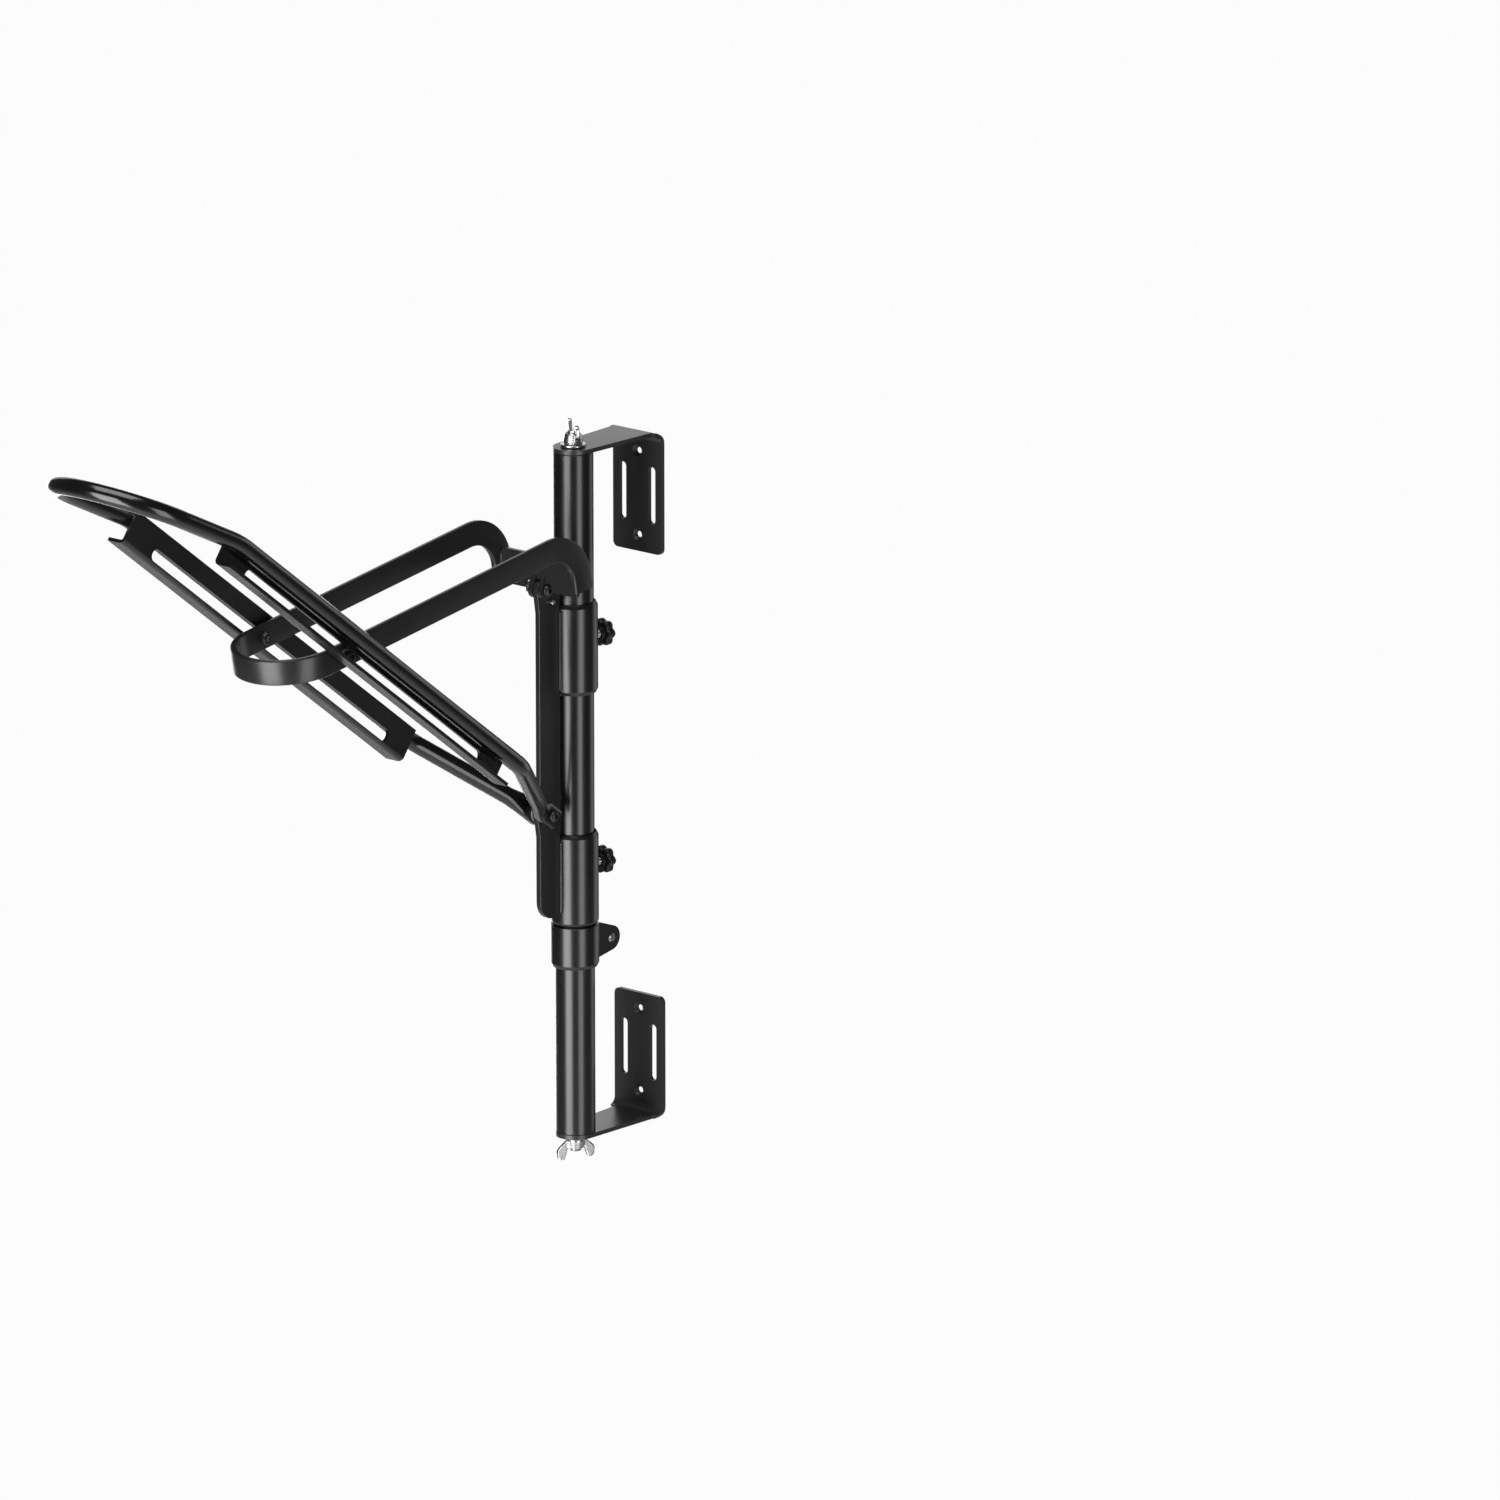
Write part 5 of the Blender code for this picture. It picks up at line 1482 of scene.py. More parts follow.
@dataclass(frozen=True)
class HingeRib:
    """Plate on the sleeve's front that carries both hinges, with its pin, bolts and welds.

    Attributes:
        layout: Shared sizes.
        rise: Height of its top above the sleeve's.
        length: Its length.
        corner: Radius of its lower corner.
        taper: Length over which an ear rises out of its front.
        pin_inset: How far the pin lies behind the front.
        pin_rise: Height of the pin above the sleeve's top.
        pin_radius: Radius of the pin.
        pin_length: Length of the pin.
        head_height: Height of a bolt's head.
        pitch: Pitch of the bolts' threads.
        spacer_rim: Width of a spacer's ring.
        bead: Radius of the weld beads.
        bead_inset: Distance of a bead's ends from a collar's ends.
        bead_sink: How far a bead sinks into the rib's back.
    """

    layout: Layout
    rise: float = 10.0
    length: float = 225.0
    corner: float = 13.0
    taper: float = 17.0
    pin_inset: float = 10.6
    pin_rise: float = 4.6
    pin_radius: float = 1.6
    pin_length: float = 11.0
    head_height: float = 2.8
    pitch: float = 0.8
    spacer_rim: float = 3.4
    bead: float = 1.5
    bead_inset: float = 3.4
    bead_sink: float = 0.2

    def outline(self) -> list[Pair]:
        """Side view in (y, z) from the pole's axis and the sleeve's top: a strip with two ears."""
        layout = self.layout
        front, back = layout.rib_front, layout.rib_back
        ear = layout.ear_radius
        bow = (front - layout.bow_pivot_inset, layout.bow_pivot_rise)
        lower = (front - layout.frame_pivot_inset, -layout.frame_pivot_drop)
        foot = self.rise - self.length
        meets_ear = 180.0 + math.degrees(math.asin((layout.bow_pivot_rise - self.rise) / ear))
        taper_foot = (front, bow[1] - self.taper)
        above, below = (front, lower[1] + self.taper), (front, lower[1] - self.taper)
        outline = [(back, self.rise)] + arc(bow, ear, meets_ear, tangent_angle(bow, ear, taper_foot, 1.0))
        first, last = tangent_angle(lower, ear, above, -1.0), tangent_angle(lower, ear, below, 1.0)
        outline += [taper_foot, above] + arc(lower, ear, first, last) + [below]
        outline += arc((front - self.corner, foot + self.corner), self.corner, 0.0, -90.0) + [(back, foot)]
        return [(-reach, height) for reach, height in outline]

    def build_plate(self, shop: Workshop, place: Matrix) -> None:
        """Make the plate and its pin."""
        layout = self.layout
        half = layout.rib_thickness / 2
        front = layout.rib_front
        holes = [
            (front - layout.bow_pivot_inset, layout.bow_pivot_rise, layout.bow_pivot_radius),
            (front - layout.frame_pivot_inset, -layout.frame_pivot_drop, layout.frame_pivot_radius),
            (front - self.pin_inset, self.pin_rise, self.pin_radius),
        ]
        plate = shop.raw("hinge_rib_plate", prism(Axis.X, self.outline(), -half, half))
        for reach, height, radius in holes:
            hole = drill(Axis.X, radius + TURN_GAP, -THROUGH, THROUGH)
            shop.shape_with(plate, Cut.AWAY, [hole.at(y=-reach, z=height)])
        shop.finish(plate, Finish.SATIN, "sleeve", ["hinge_rib"], place, 0.45)
        end = self.pin_length / 2
        peg = turned(Axis.X, [(self.pin_radius, -end, 0.5), (self.pin_radius, end, 0.5)], sides=32)
        peg = peg.at(y=self.pin_inset - front, z=self.pin_rise)
        shop.make("rib_pin_peg", peg, Finish.ZINC, "sleeve", ["rib_pin"], place)

    def build_pivot(self, shop: Workshop, side: str, centre: Vector, radius: float, face: float) -> None:
        """Make a cross bolt with a button head on +X and a nut on -X.

        Args:
            shop: Workshop that makes them.
            side: Word that their names begin with.
            centre: Place of the pivot.
            radius: Radius of the bolt.
            face: Distance of the faces that it clamps from the middle.
        """
        layout = self.layout
        place = Matrix.Translation(centre)
        seat = face + SEAT_GAP
        end = seat + self.head_height
        head = layout.head_radius
        tip = -seat - layout.nut_height - layout.bolt_overhang
        button = [(head, seat, 0.3), (head, seat + 0.9, 0.8), (head * 0.6, end, 1.6)]
        bolt = SocketBolt(radius, tip, 1.0 - seat, self.pitch).shape(button, 15.0)
        shop.make(f"{side}_pivot_screw", bolt, Finish.SATIN, "sleeve", [f"{side}_pivot_bolt"], place)
        flats = layout.nut_flats * radius / layout.bow_pivot_radius
        nut = hex_nut(Axis.X, flats, radius + TURN_GAP, -seat - layout.nut_height, -seat)
        shop.make(f"{side}_pivot_hexagon", nut, Finish.ZINC, "sleeve", [f"{side}_pivot_nut"], place)

    def build_spacers(self, shop: Workshop) -> None:
        """Make the rings between the rib and the loop's flattened ends."""
        low = self.layout.rib_thickness / 2 + SEAT_GAP
        bore = self.layout.frame_pivot_radius + TURN_GAP
        place = Matrix.Translation(self.layout.frame_pivot)
        for hand, way in HANDS:
            ring = washer(Axis.X, bore, bore + self.spacer_rim, way * low, way * (low + self.layout.spacer))
            shop.make(f"{hand}_spacer_ring", ring, Finish.BEARING, "sleeve", [f"{hand}_pivot_spacer"], place)

    def build_welds(self, shop: Workshop, place: Matrix) -> None:
        """Lay a bead down each side of the rib on both collars."""
        layout = self.layout
        y = self.bead_sink - layout.rib_back
        lower_top = -layout.upper_collar - layout.collar_spacing
        runs = {
            "upper": (-self.bead_inset, self.bead_inset - layout.upper_collar),
            "lower": (lower_top - self.bead_inset, self.rise - self.length + 1.0),
        }
        for side, (high, low) in runs.items():
            for hand, way in HANDS:
                x = way * (layout.rib_thickness / 2 + SEAT_GAP)
                bead = weld_bead((x, y, high), (x, y, low), self.bead)
                shop.make(f"{side}_{hand}_rib_weld", bead, Finish.SATIN, "sleeve", place=place)

    def build(self, shop: Workshop) -> None:
        """Make the rib and everything that is fixed to it."""
        layout = self.layout
        place = Matrix.Translation((0.0, -layout.arm_reach, layout.sleeve_top))
        self.build_plate(shop, place)
        self.build_welds(shop, place)
        half = layout.rib_thickness / 2
        knuckle_face = half + SEAT_GAP + layout.knuckle
        tongue_face = half + layout.spacer + layout.tongue_thickness + 2 * SEAT_GAP
        self.build_pivot(shop, "bow", layout.bow_pivot, layout.bow_pivot_radius, knuckle_face)
        self.build_pivot(shop, "frame", layout.frame_pivot, layout.frame_pivot_radius, tongue_face)
        self.build_spacers(shop)


@dataclass(frozen=True)
class CradleFrame:
    """Bent tube loop with its slotted rails, measured along its own plane from its pivot.

    Attributes:
        layout: Shared sizes.
        tube_radius: Radius of the tube, which lies within the part's many-sided one.
        part_radius: Radius at the corners of the part's own tube.
        tube_wall: Wall of the tube.
        half_gauge: Distance of a straight run from the middle.
        tongue: Length of the flattened end beyond the pivot.
        tail: Length of the flattened end behind the pivot.
        flat_share: Share of the tongue's length that is fully flat.
        flare: Length in which the tube turns round again, in widths of the flattened end.
        tongue_bend: Bend radius at the tongue.
        taper_end: Where the loop reaches its full width.
        taper_bend: Bend radius there.
        knee: Where the nose bends down.
        knee_drop: How far it bends down in degrees.
        knee_bend: Bend radius of the knee.
        nose_length: Length of the nose.
        rail_setback: Distance of the rails from the taper.
        rail_overrun: How far the rails run past the knee.
        rail_sheet: Thickness of the rails' sheet.
        rail_top: Height of a rail's upper edge.
        rail_lip: Width of a rail's lip beyond its outer face.
        rail_bend: Inner radius of a rail's bend.
        slot_width: Width of a slot.
        slot_below_tube: Drop of a slot's middle line below the tube.
        slot_ledge: Sheet below a slot.
        slot_inner: Sheet before a slot's inner end.
        slot_outer: Sheet past a slot's outer end.
        stitches: Number of weld stitches under each tube.
        stitch_length: Length of a stitch.
        stitch_drop: Drop of the stitches below the tube's middle line.
        stitch_margin: Rail that is left without stitches before the knee.
        bead: Radius of the stitches.
        sides: Points round the tube.
        fine_step: Distance between two rings of the tube where its section changes.
        coarse_step: Distance between two rings elsewhere.
    """

    layout: Layout
    tube_radius: float = 6.03
    part_radius: float = 6.25
    tube_wall: float = 1.5
    half_gauge: float = 48.1
    tongue: float = 9.0
    tail: float = 9.0
    flat_share: float = 0.6
    flare: float = 1.4
    tongue_bend: float = 12.0
    taper_end: float = 95.0
    taper_bend: float = 28.0
    knee: float = 438.0
    knee_drop: float = 11.2
    knee_bend: float = 90.0
    nose_length: float = 106.0
    rail_setback: float = 4.0
    rail_overrun: float = 4.0
    rail_sheet: float = 2.4
    rail_top: float = 5.1
    rail_lip: float = 11.7
    rail_bend: float = 1.5
    slot_width: float = 8.2
    slot_below_tube: float = 5.1
    slot_ledge: float = 3.25
    slot_inner: float = 23.2
    slot_outer: float = 29.0
    stitches: int = 6
    stitch_length: float = 16.0
    stitch_drop: float = 3.6
    stitch_margin: float = 20.0
    bead: float = 1.3
    sides: int = 36
    fine_step: float = 2.0
    coarse_step: float = 40.0

    @property
    def place(self) -> Matrix:
        """Frame of the loop's plane at rest."""
        slope = Matrix.Rotation(math.radians(-self.layout.frame_slope), 4, "X")
        return Matrix.Translation(self.layout.frame_pivot) @ slope

    @property
    def tongue_width(self) -> float:
        """Width of the flattened end, whose outline is as long as the round tube's."""
        thick = self.layout.tongue_thickness
        return thick + math.pi * (self.tube_radius - thick / 2)

    @property
    def end_centre(self) -> float:
        """Distance of the flattened end from the middle."""
        layout = self.layout
        return layout.rib_thickness / 2 + layout.spacer + layout.tongue_thickness / 2 + 2 * SEAT_GAP

    @property
    def rail_face(self) -> float:
        """Distance of a rail's outer face from the middle."""
        return self.half_gauge - self.part_radius - SEAT_GAP

    @property
    def slot_drop(self) -> float:
        """Drop of a slot's middle line below the tube's."""
        return self.part_radius + self.slot_below_tube

    @property
    def rail_start(self) -> float:
        """Where the rails begin."""
        taper = math.atan2(self.half_gauge - self.end_centre, self.taper_end - self.tongue)
        return self.taper_end + self.taper_bend * math.tan(taper / 2) + self.rail_setback

    @property
    def rail_end(self) -> float:
        """Where the rails end."""
        return self.knee + self.rail_overrun

    def centre_line(self) -> list[Vector]:
        """Line through the whole loop, with short steps wherever the section changes."""
        knee = math.radians(self.knee_drop)
        gauge = self.half_gauge
        nose = (gauge, -self.knee - self.nose_length * math.cos(knee), -self.nose_length * math.sin(knee))
        corners = [
            ((self.end_centre, self.tail, 0.0), 0.0),
            ((self.end_centre, -self.tongue, 0.0), self.tongue_bend),
            ((gauge, -self.taper_end, 0.0), self.taper_bend),
            ((gauge, -self.knee, 0.0), self.knee_bend),
            (nose, gauge),
        ]
        mirrored = [((-x, y, z), bend) for (x, y, z), bend in reversed(corners)]
        path = filleted_path(corners + mirrored, 3.0)
        dense: list[Vector] = []
        for start, end in zip(path, path[1:]):
            near_tongue = max(start.y, end.y) > -2 * self.tongue_width
            longest = self.fine_step if near_tongue else self.coarse_step
            count = max(1, math.ceil((end - start).length / longest))
            dense += [start.lerp(end, k / count) for k in range(count)]
        return dense + [path[-1]]

    def flatness(self, distance: float) -> float:
        """How far the tube is flattened at a distance from its end: 1 at the tongue, 0 where it is round."""
        flat_until = self.tail + self.tongue * self.flat_share
        share = min(1.0, max(0.0, (distance - flat_until) / (self.flare * self.tongue_width)))
        return 1.0 - share * share * (3.0 - 2.0 * share)

    def section(self, point: Vector, run: Vector, flat: float, inset: float) -> Ring:
        """Ring of points round the centre line.

        Args:
            point: Centre of the ring.
            run: Direction of the line.
            flat: How far the tube is flattened.
            inset: Wall that is taken off, for the bore.

        Returns:
            The ring.
        """
        up = Vector((0.0, 0.0, 1.0))
        up = (up - run * up.dot(run)).normalized()
        across = run.cross(up)
        radius = self.tube_radius
        thick = radius + (self.layout.tongue_thickness / 2 - radius) * flat - inset
        wide = radius + (self.tongue_width / 2 - radius) * flat - inset
        power = 1.0 - 0.5 * flat
        ring = []
        for i in range(self.sides):
            turn = FULL_TURN * (i + 0.5) / self.sides
            c, s = math.cos(turn), math.sin(turn)
            side = math.copysign(abs(c) ** power, c) * thick
            rise = math.copysign(abs(s) ** power, s) * wide
            ring.append(point + across * side + up * rise)
        return ring

    def build_loop(self, shop: Workshop) -> None:
        """Bend the tube, flatten its ends, drill them and trim them round."""
        path = self.centre_line()
        last = len(path) - 1
        runs = [(path[min(i + 1, last)] - path[max(i - 1, 0)]).normalized() for i in range(last + 1)]
        travelled = [0.0]
        for start, end in zip(path, path[1:]):
            travelled.append(travelled[-1] + (end - start).length)
        flats = [self.flatness(min(d, travelled[-1] - d)) for d in travelled]
        stations = list(zip(path, runs, flats))
        outer = [self.section(point, run, flat, 0.0) for point, run, flat in stations]
        inner = [self.section(point, run, flat, self.tube_wall) for point, run, flat in stations]
        loop = shop.raw("loop_tube", skin(outer + inner[::-1], closed=True))
        hole = drill(Axis.X, self.layout.frame_pivot_radius + TURN_GAP, -THROUGH, THROUGH)
        over = self.tail + 3.0
        outside = [(over, -over), (over, over)] + arc((0.0, 0.0), self.tail, 75.0, -75.0)
        shop.shape_with(loop, Cut.AWAY, [hole, prism(Axis.X, outside, -THROUGH, THROUGH)])
        shop.finish(loop, Finish.GLOSS, "cradle_frame", ["frame_loop"], self.place)

    def rail_section(self, way: float) -> list[Pair]:
        """Rail in (x, z): an upright web whose foot bends outwards to a lip."""
        sheet = self.rail_sheet
        face = self.rail_face
        outer = self.rail_bend + sheet
        bottom = -self.slot_drop - self.slot_width / 2 - self.slot_ledge
        corner = (face - sheet + outer, bottom + outer)
        outline = [(face - sheet, self.rail_top)] + arc(corner, outer, 180.0, 270.0, 9.0)
        outline += [(face + self.rail_lip, bottom), (face + self.rail_lip, bottom + sheet)]
        outline += arc(corner, self.rail_bend, 270.0, 180.0, 9.0) + [(face, self.rail_top)]
        return [(way * x, z) for x, z in outline]

    def build_rail(self, shop: Workshop, hand: str, way: float) -> None:
        """Make one rail and stitch it under its tube."""
        face = self.rail_face
        blank = prism(Axis.Y, self.rail_section(way), -self.rail_end, -self.rail_start)
        rail = shop.raw(f"{hand}_rail_sheet", blank)
        slot_start = self.rail_start + self.slot_inner
        slot_end = self.rail_end - self.slot_outer
        centre = (-(slot_start + slot_end) / 2, -self.slot_drop)
        slot = stadium(slot_end - slot_start, self.slot_width, centre, False)
        inner, outer = face - self.rail_sheet - OVERCUT, face + OVERCUT
        shop.shape_with(rail, Cut.AWAY, [prism(Axis.X, slot, way * inner, way * outer)])
        shop.finish(rail, Finish.POWDER, "cradle_frame", [f"{hand}_rail"], self.place, 0.4)
        x, z = way * (face + 1.0), -self.stitch_drop
        pitch = (self.knee - self.stitch_margin - self.rail_start) / self.stitches
        for i in range(self.stitches):
            start = self.rail_start + pitch * (i + 0.4)
            bead = weld_bead((x, -start, z), (x, -start - self.stitch_length, z), self.bead)
            name = f"{hand}_rail_weld_{i + 1}"
            shop.make(name, bead, Finish.GLOSS, "cradle_frame", place=self.place)

    def build(self, shop: Workshop) -> None:
        """Make the loop and both rails."""
        self.build_loop(shop)
        for hand, way in HANDS:
            self.build_rail(shop, hand, way)


@dataclass(frozen=True)
class Bow:
    """Bent flat bar with its cross plate and slot bolts, measured in its own plane from its pivot.

    Attributes:
        layout: Shared sizes.
        cradle: Loop whose slots it runs in.
        height: Height of the bar.
        thickness: Thickness of the bar.
        edge: Radius of the bar's edges.
        leg_rise: Height of the legs above the pivot.
        bolt_reach: Distance of the slot bolts from the pivot.
        bend_lead: Straight bar past the bolts.
        hook_reach: Distance of the hooks' centre from the pivot.
        hook_radius: Radius of the hooks.
        hook_turn: Turn of the hooks in degrees.
        tail: Straight bar past the hooks.
        plate_thickness: Thickness of the cross plate.
        plate_height: Height of the cross plate.
        plate_hem: How far the cross plate hangs below the pivot.
        knuckle_radius: Radius of a knuckle.
        notch: Clearance of the cross plate's notches.
        bolt_radius: Radius of the slot bolts.
        bolt_drop: Drop of the slot bolts below the slots' middle line.
        head_height: Height of their heads.
        pitch: Pitch of their threads.
        washer_rim: Width of a slot washer's ring.
        washer_thickness: Thickness of a slot washer.
        bead: Radius of the weld beads.
        weld_margin: Distance of a bead's ends from the cross plate's edges.
        hook_steps: Steps round a hook.
        turn_steps: Steps round a quarter of the far bend.
    """

    layout: Layout
    cradle: CradleFrame
    height: float = 17.0
    thickness: float = 4.0
    edge: float = 1.0
    leg_rise: float = 41.2
    bolt_reach: float = 233.4
    bend_lead: float = 13.3
    hook_reach: float = 26.5
    hook_radius: float = 29.2
    hook_turn: float = 89.0
    tail: float = 8.3
    plate_thickness: float = 3.0
    plate_height: float = 24.0
    plate_hem: float = 0.5
    knuckle_radius: float = 6.6
    notch: float = 1.5
    bolt_radius: float = 2.0
    bolt_drop: float = 0.5
    head_height: float = 2.0
    pitch: float = 0.7
    washer_rim: float = 2.5
    washer_thickness: float = 1.2
    bead: float = 1.1
    weld_margin: float = 3.0
    hook_steps: int = 24
    turn_steps: int = 30

    @property
    def half_gauge(self) -> float:
        """Distance of a leg's middle from the mount's middle."""
        inner_face = self.cradle.rail_face - self.cradle.rail_sheet
        return inner_face - 2 * SEAT_GAP - self.washer_thickness - self.thickness / 2

    @property
    def slope(self) -> float:
        """Slope in radians at which the slot bolts hang just below the slots' middle line."""
        slope = math.radians(self.layout.frame_slope)
        along = Vector((math.cos(slope), math.sin(slope)))
        above = Vector((-math.sin(slope), math.cos(slope)))
        gap = self.layout.bow_pivot - self.layout.frame_pivot
        pivot = Vector((-gap.y, gap.z))
        to_line = -self.cradle.slot_drop - self.bolt_drop - pivot.dot(above)
        arm = math.hypot(self.bolt_reach, self.leg_rise)
        bolt = above * to_line + along * math.sqrt(arm**2 - to_line**2)
        return math.atan2(self.leg_rise, self.bolt_reach) - math.atan2(bolt.y, bolt.x)

    @property
    def place(self) -> Matrix:
        """Frame of the bow's plane at rest."""
        return Matrix.Translation(self.layout.bow_pivot) @ Matrix.Rotation(self.slope, 4, "X")

    def stations(self) -> list[tuple[Vector, Vector, Vector]]:
        """Centre, outward side and upper side of the bar, from the right hook round to the left one."""
        centre = Vector((self.half_gauge, -self.hook_reach, self.leg_rise - self.hook_radius))
        outward = Vector((1.0, 0.0, 0.0))
        end_turn = math.radians(self.hook_turn)
        end_radial = Vector((0.0, math.sin(end_turn), math.cos(end_turn)))
        end_run = Vector((0.0, math.cos(end_turn), -math.sin(end_turn)))
        half = [(centre + end_radial * self.hook_radius + end_run * self.tail, outward, end_radial)]
        for k in range(self.hook_steps + 1):
            turn = end_turn * (1.0 - k / self.hook_steps)
            radial = Vector((0.0, math.sin(turn), math.cos(turn)))
            half.append((centre + radial * self.hook_radius, outward, radial))
        up = Vector((0.0, 0.0, 1.0))
        hub = Vector((0.0, -self.bolt_reach - self.bend_lead, self.leg_rise))
        for k in range(self.turn_steps):
            turn = -math.pi / 2 * k / self.turn_steps
            side = Vector((math.cos(turn), math.sin(turn), 0.0))
            half.append((hub + side * self.half_gauge, side, up))
        flip = Vector((-1.0, 1.0, 1.0))
        apex = (hub + Vector((0.0, -self.half_gauge, 0.0)), Vector((0.0, -1.0, 0.0)), up)
        return half + [apex] + [(p * flip, o * flip, u) for p, o, u in reversed(half)]

    def build_bar(self, shop: Workshop) -> None:
        """Bend the bar and drill its legs."""
        t, h, edge = self.thickness / 2, self.height / 2, self.edge
        section = rounded([(t, h, edge), (-t, h, edge), (-t, -h, edge), (t, -h, edge)], 22.5)
        loops = [[p + o * a + u * b for a, b in section] for p, o, u in self.stations()]
        bar = shop.raw("bow_bar", skin(loops))
        hole = drill(Axis.X, self.bolt_radius + SEAT_GAP, -THROUGH, THROUGH)
        shop.shape_with(bar, Cut.AWAY, [hole.at(y=-self.bolt_reach, z=self.leg_rise)])
        shop.finish(bar, Finish.SATIN, "bow_arm", ["bow"], self.place)

    def build_cross_plate(self, shop: Workshop) -> None:
        """Make the plate between the hooks, upright at rest, with its knuckles and welds."""
        layout = self.layout
        half = self.half_gauge - self.thickness / 2 - SEAT_GAP
        thick = self.plate_thickness / 2
        top = self.plate_height - self.plate_hem
        hem = -self.plate_hem
        corners = [(half, hem, 1.5), (half, top, 3.0), (-half, top, 3.0), (-half, hem, 1.5)]
        plate = shop.raw("cross_plate_sheet", prism(Axis.Y, rounded(corners), -thick, thick))
        inner = layout.rib_thickness / 2 + SEAT_GAP
        outer = inner + layout.knuckle
        radius = self.knuckle_radius
        room = outer + layout.nut_height + layout.bolt_overhang + self.notch
        ceiling = layout.nut_flats / math.sqrt(3.0) + SEAT_GAP
        relief = rounded(
            [(room, -radius, 0.0), (room, ceiling, 2.0), (-room, ceiling, 2.0), (-room, -radius, 0.0)]
        )
        shop.shape_with(plate, Cut.AWAY, [prism(Axis.Y, relief, -thick - OVERCUT, thick + OVERCUT)])
        depth = layout.ear_radius + self.notch
        web = thick - 0.3
        ear = arc((0.0, 0.0), radius, 180.0, 360.0) + [(web, depth + 4.0), (-web, depth + 4.0)]
        knuckles = [prism(Axis.X, ear, way * (inner - 0.5), way * outer) for _, way in HANDS]
        shop.shape_with(plate, Cut.ADDED, knuckles)
        low, reach = -radius - OVERCUT, radius + OVERCUT
        gap = [(inner, low), (inner, depth), (-inner, depth), (-inner, low)]
        hole = drill(Axis.X, layout.bow_pivot_radius + TURN_GAP, -room, room)
        shop.shape_with(plate, Cut.AWAY, [prism(Axis.Y, gap, -reach, reach), hole])
        place = Matrix.Translation(layout.bow_pivot)
        shop.finish(plate, Finish.SATIN, "bow_arm", ["cross_plate"], place, 0.4)
        margin = self.weld_margin
        for hand, way in HANDS:
            for face, side in (("front", -1.0), ("back", 1.0)):
                x, y = way * (half - 0.1), side * (thick + 0.2)
                bead = weld_bead((x, y, margin), (x, y, top - margin), self.bead)
                shop.make(f"{hand}_{face}_hook_weld", bead, Finish.SATIN, "bow_arm", place=place)

    def build_slot_bolt(self, shop: Workshop, hand: str, way: float) -> None:
        """Make the bolt that joins one leg to its slot, with its washer and nut."""
        layout = self.layout
        place = self.place @ Matrix.Translation((0.0, -self.bolt_reach, self.leg_rise))
        seat = self.cradle.rail_face + SEAT_GAP
        face = seat + self.head_height
        nut_face = self.half_gauge - self.thickness / 2 - SEAT_GAP
        tip = nut_face - layout.nut_height - layout.bolt_overhang
        head = layout.head_radius
        bolt = SocketBolt(self.bolt_radius, tip, nut_face, self.pitch)
        cap = bolt.shape([(head, seat, 0.2), (head, face, 0.5)], 22.5)
        cap = cap.moved(Matrix.Scale(way, 4, (1.0, 0.0, 0.0)))
        shop.make(f"{hand}_slot_screw", cap, Finish.SATIN, "bow_arm", [f"{hand}_slot_bolt"], place)
        low = self.half_gauge + self.thickness / 2 + SEAT_GAP
        bore = self.bolt_radius + TURN_GAP
        ring = washer(Axis.X, bore, bore + self.washer_rim, way * low, way * (low + self.washer_thickness))
        shop.make(f"{hand}_slot_ring", ring, Finish.BEARING, "bow_arm", [f"{hand}_slot_washer"], place)
        nut = hex_nut(Axis.X, layout.nut_flats, bore, way * (nut_face - layout.nut_height), way * nut_face)
        shop.make(f"{hand}_slot_hexagon", nut, Finish.SATIN, "bow_arm", [f"{hand}_slot_nut"], place)

    def build(self, shop: Workshop) -> None:
        """Make the bow, the cross plate and both slot bolts."""
        self.build_bar(shop)
        self.build_cross_plate(shop)
        for hand, way in HANDS:
            self.build_slot_bolt(shop, hand, way)


def away_from_mount(azimuth: float, elevation: float) -> Vector:
    """Direction from the mount at an azimuth, from the wall's straight view, and an elevation in degrees."""
    a, e = math.radians(azimuth), math.radians(elevation)
    return Vector((math.sin(a) * math.cos(e), -math.cos(a) * math.cos(e), math.sin(e)))


@dataclass(frozen=True)
class Softbox:
    """Large soft lamp that faces the mount.

    Attributes:
        name: Name of the lamp.
        azimuth: Its azimuth in degrees, from the wall's own straight view.
        elevation: Its elevation in degrees.
        distance: Its distance in metres.
        width: Its width in metres.
        height: Its height in metres.
        power: Its power in watts.
    """

    name: str
    azimuth: float
    elevation: float
    distance: float
    width: float
    height: float
    power: float

    def hang(self, target: Vector) -> None:
        """Hang the lamp so that it faces the target."""
        lamp = bpy.data.lights.new(self.name, "AREA")
        lamp.shape = "RECTANGLE"
        lamp.size = self.width
        lamp.size_y = self.height
        lamp.energy = self.power
        holder = bpy.data.objects.new(self.name, lamp)
        holder.visible_camera = False
        bpy.context.scene.collection.objects.link(holder)
        back = away_from_mount(self.azimuth, self.elevation)
        holder.location = target + back * self.distance
        holder.rotation_euler = back.to_track_quat("Z", "Y").to_euler()


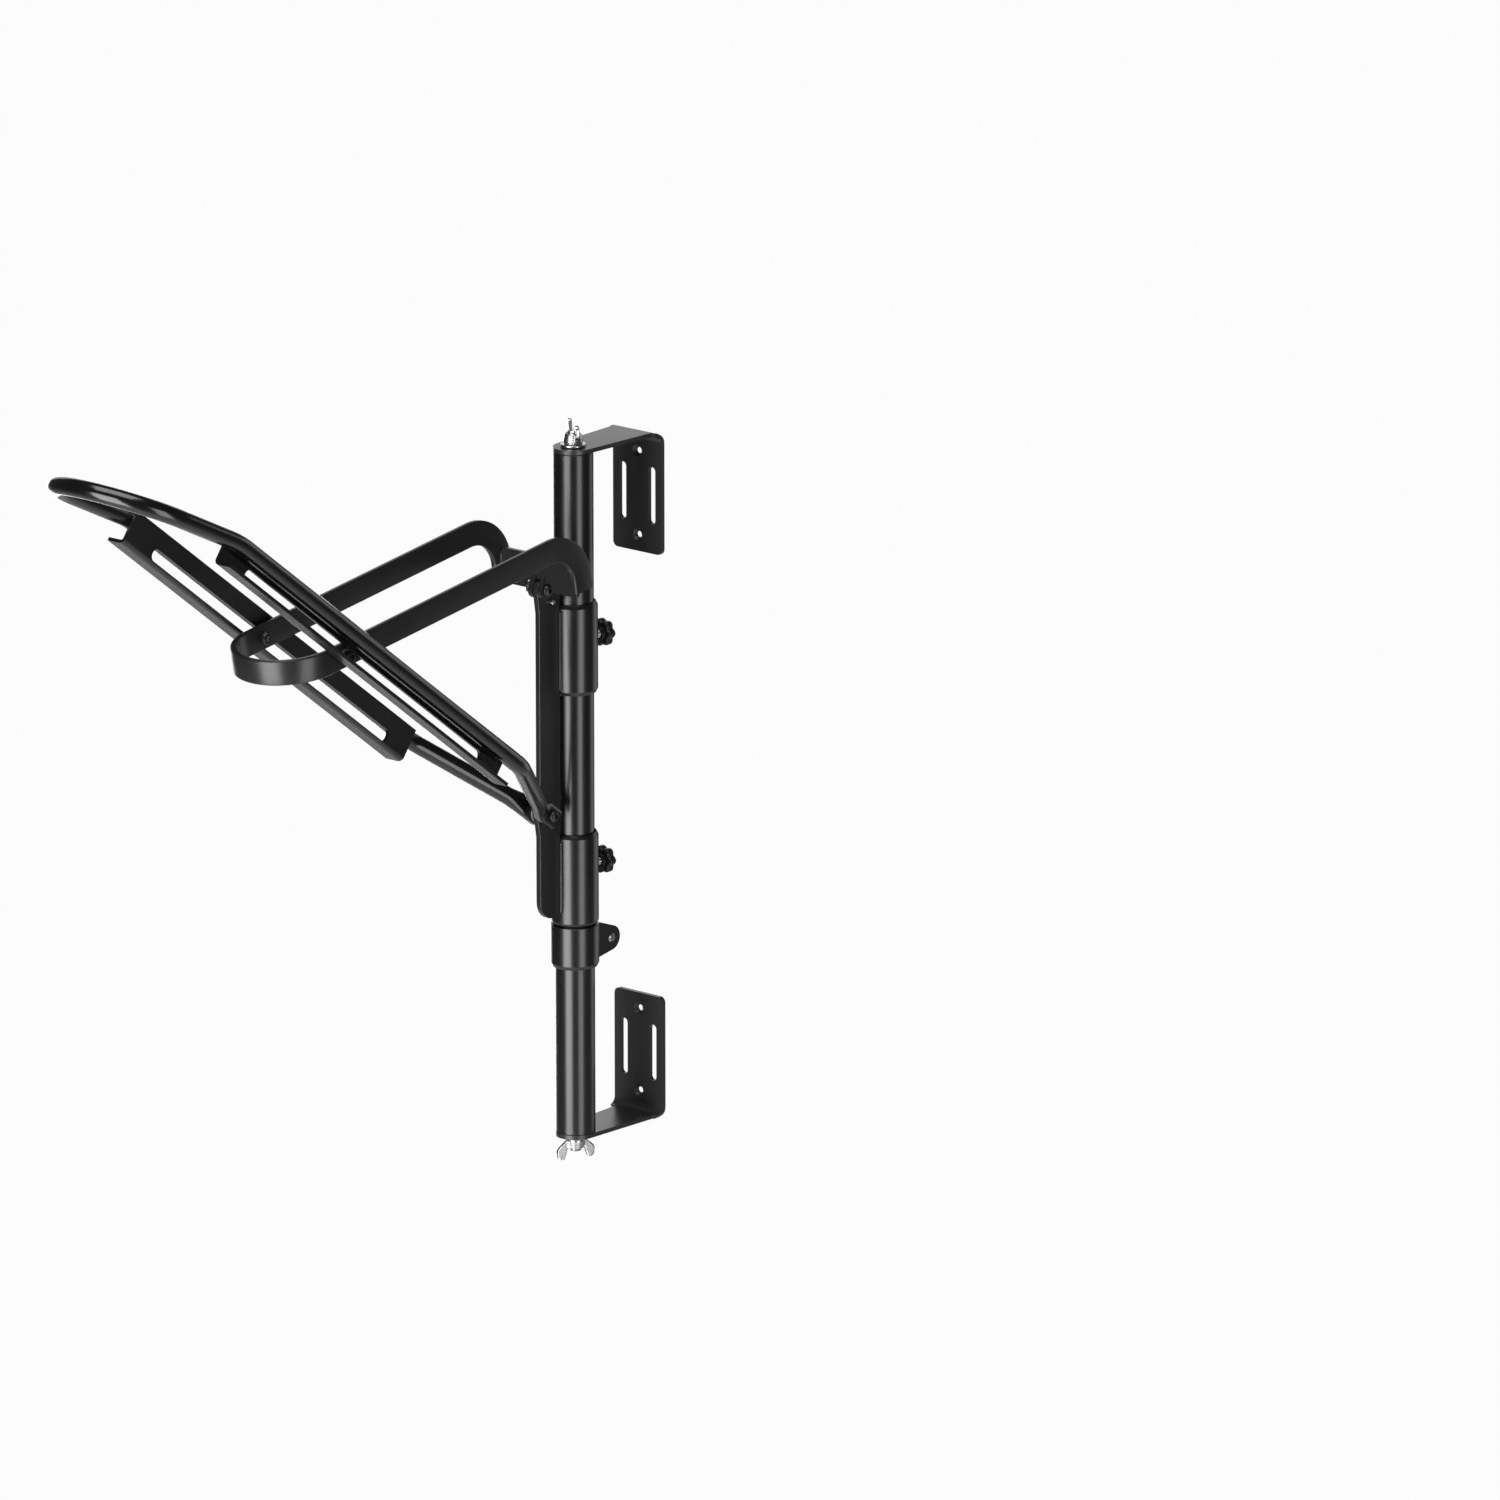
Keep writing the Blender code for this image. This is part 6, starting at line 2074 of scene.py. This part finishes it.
@dataclass(frozen=True)
class Stage:
    """Pale floor, white surroundings and soft lamps.

    Attributes:
        target: Point that the lamps face, in metres.
        floor_reach: Half the floor's width in metres.
        floor_gap: Distance of the floor below the mount in metres.
        pale: Colour of the floor.
        glow: Share of plain white in what the camera sees of the floor.
        ambient: Strength of the light from all around.
    """

    target: Point = (0.0, -0.25, -0.12)
    floor_reach: float = 40.0
    floor_gap: float = 1.8
    pale: Colour = (0.86, 0.86, 0.86)
    glow: float = 0.97
    ambient: float = 0.05

    def build_floor(self) -> None:
        """Lay the floor, which keeps the mount's shadow."""
        height = CAD_BOX[0][2] - self.floor_gap
        reach = self.floor_reach
        sides = [(-reach, -reach), (reach, -reach), (reach, reach), (-reach, reach)]
        mesh = bpy.data.meshes.new("studio_floor")
        mesh.from_pydata([(x, y, height) for x, y in sides], [], [(0, 1, 2, 3)])
        floor = bpy.data.objects.new("studio_floor", mesh)
        bpy.context.scene.collection.objects.link(floor)
        tree = ShaderTree("studio_floor")
        tree.feed(tree.shader.inputs["Roughness"], 1.0)
        tree.feed(tree.shader.inputs["Specular IOR Level"], 0.0)
        tree.feed(tree.shader.inputs["Base Color"], (*self.pale, 1.0))
        seen = Value(tree, tree.node("ShaderNodeLightPath", output="Is Camera Ray"))
        white = tree.node("ShaderNodeEmission", {}, {"Color": (1.0, 1.0, 1.0, 1.0), "Strength": 1.0})
        lit = tree.shader.outputs[0]
        shown = tree.node("ShaderNodeMixShader", {}, {0: seen * self.glow, 1: lit, 2: white})
        tree.links.new(shown, tree.nodes["Material Output"].inputs["Surface"])
        mesh.materials.append(tree.material)

    def build_world(self) -> None:
        """Set the light from all around, which the camera sees as white."""
        world = bpy.data.worlds.new("studio")
        world.use_nodes = True
        bpy.context.scene.world = world
        nodes, links = world.node_tree.nodes, world.node_tree.links
        path = nodes.new("ShaderNodeLightPath")
        strength = nodes.new("ShaderNodeMapRange")
        strength.inputs["To Min"].default_value = self.ambient
        strength.inputs["To Max"].default_value = 1.0
        links.new(path.outputs["Is Camera Ray"], strength.inputs["Value"])
        nodes["Background"].inputs["Color"].default_value = (1.0, 1.0, 1.0, 1.0)
        links.new(strength.outputs["Result"], nodes["Background"].inputs["Strength"])

    def build(self) -> None:
        """Set the whole stage."""
        self.build_floor()
        self.build_world()
        lamps = [
            Softbox(
                "left_softbox",
                azimuth=4.0, elevation=-13.0, distance=2.6, width=1.7, height=2.7, power=84.0,
            ),
            Softbox(
                "right_softbox",
                azimuth=79.0, elevation=-13.0, distance=2.8, width=1.2, height=2.7, power=30.0,
            ),
            Softbox(
                "back_softbox",
                azimuth=165.0, elevation=-5.0, distance=3.2, width=1.8, height=2.4, power=8.0,
            ),
            Softbox(
                "far_softbox",
                azimuth=222.0, elevation=12.0, distance=3.2, width=3.0, height=2.2, power=18.0,
            ),
            Softbox(
                "behind_softbox",
                azimuth=232.0, elevation=-14.0, distance=3.2, width=2.0, height=1.6, power=26.0,
            ),
            Softbox(
                "overhead_softbox",
                azimuth=20.0, elevation=72.0, distance=2.4, width=2.0, height=2.0, power=42.0,
            ),
        ]
        for lamp in lamps:
            lamp.hang(Vector(self.target))
        bpy.context.scene.view_settings.view_transform = "Standard"


@dataclass(frozen=True)
class PhotoCamera:
    """Camera at the photograph's viewing angle.

    Attributes:
        eye: Its place in metres.
        azimuth: Its azimuth in degrees, from the wall's own straight view.
        elevation: Its elevation in degrees.
        focal_pixels: Its focal length in pixels of the photograph.
        photo_width: Width of the photograph in pixels.
        sensor: Width of its sensor in millimetres.
    """

    eye: Point = (5.68198, -6.62382, 2.25364)
    azimuth: float = 40.141
    elevation: float = 15.593
    focal_pixels: float = 13468.7
    photo_width: float = 1500.0
    sensor: float = 36.0

    def build(self) -> None:
        """Place the camera and make it the scene's own."""
        data = bpy.data.cameras.new("photo_camera")
        data.sensor_fit = "HORIZONTAL"
        data.sensor_width = self.sensor
        data.lens = self.focal_pixels / self.photo_width * self.sensor
        data.clip_end = 200.0
        holder = bpy.data.objects.new("photo_camera", data)
        bpy.context.scene.collection.objects.link(holder)
        back = away_from_mount(self.azimuth, self.elevation)
        right = away_from_mount(self.azimuth + 90.0, 0.0)
        turn = Matrix((right, back.cross(right), back)).transposed().to_4x4()
        holder.matrix_world = Matrix.Translation(self.eye) @ turn
        bpy.context.scene.camera = holder


def main() -> None:
    """Build the mount's looks and set the stage."""
    logging.basicConfig(level=logging.INFO, format="%(message)s")
    shop = Workshop()
    layout = Layout()
    cradle = CradleFrame(layout)
    lower_top = layout.sleeve_top - layout.upper_collar - layout.collar_spacing
    sub_assemblies = [
        WallBracket(layout, "top", height=0.0, turned_over=False),
        WallBracket(layout, "bottom", height=layout.lower_plate, turned_over=True),
        Pole(layout),
        StopCollar(layout),
        Collar(layout, "upper", top=layout.sleeve_top, length=layout.upper_collar, star_drop=28.0),
        Collar(layout, "lower", top=lower_top, length=layout.lower_collar, star_drop=26.5),
        HingeRib(layout),
        cradle,
        Bow(layout, cradle),
    ]
    for sub_assembly in sub_assemblies:
        LOG.info("%s", type(sub_assembly).__name__)
        sub_assembly.build(shop)
    Stage().build()
    PhotoCamera().build()


if __name__ == "__main__":
    main()
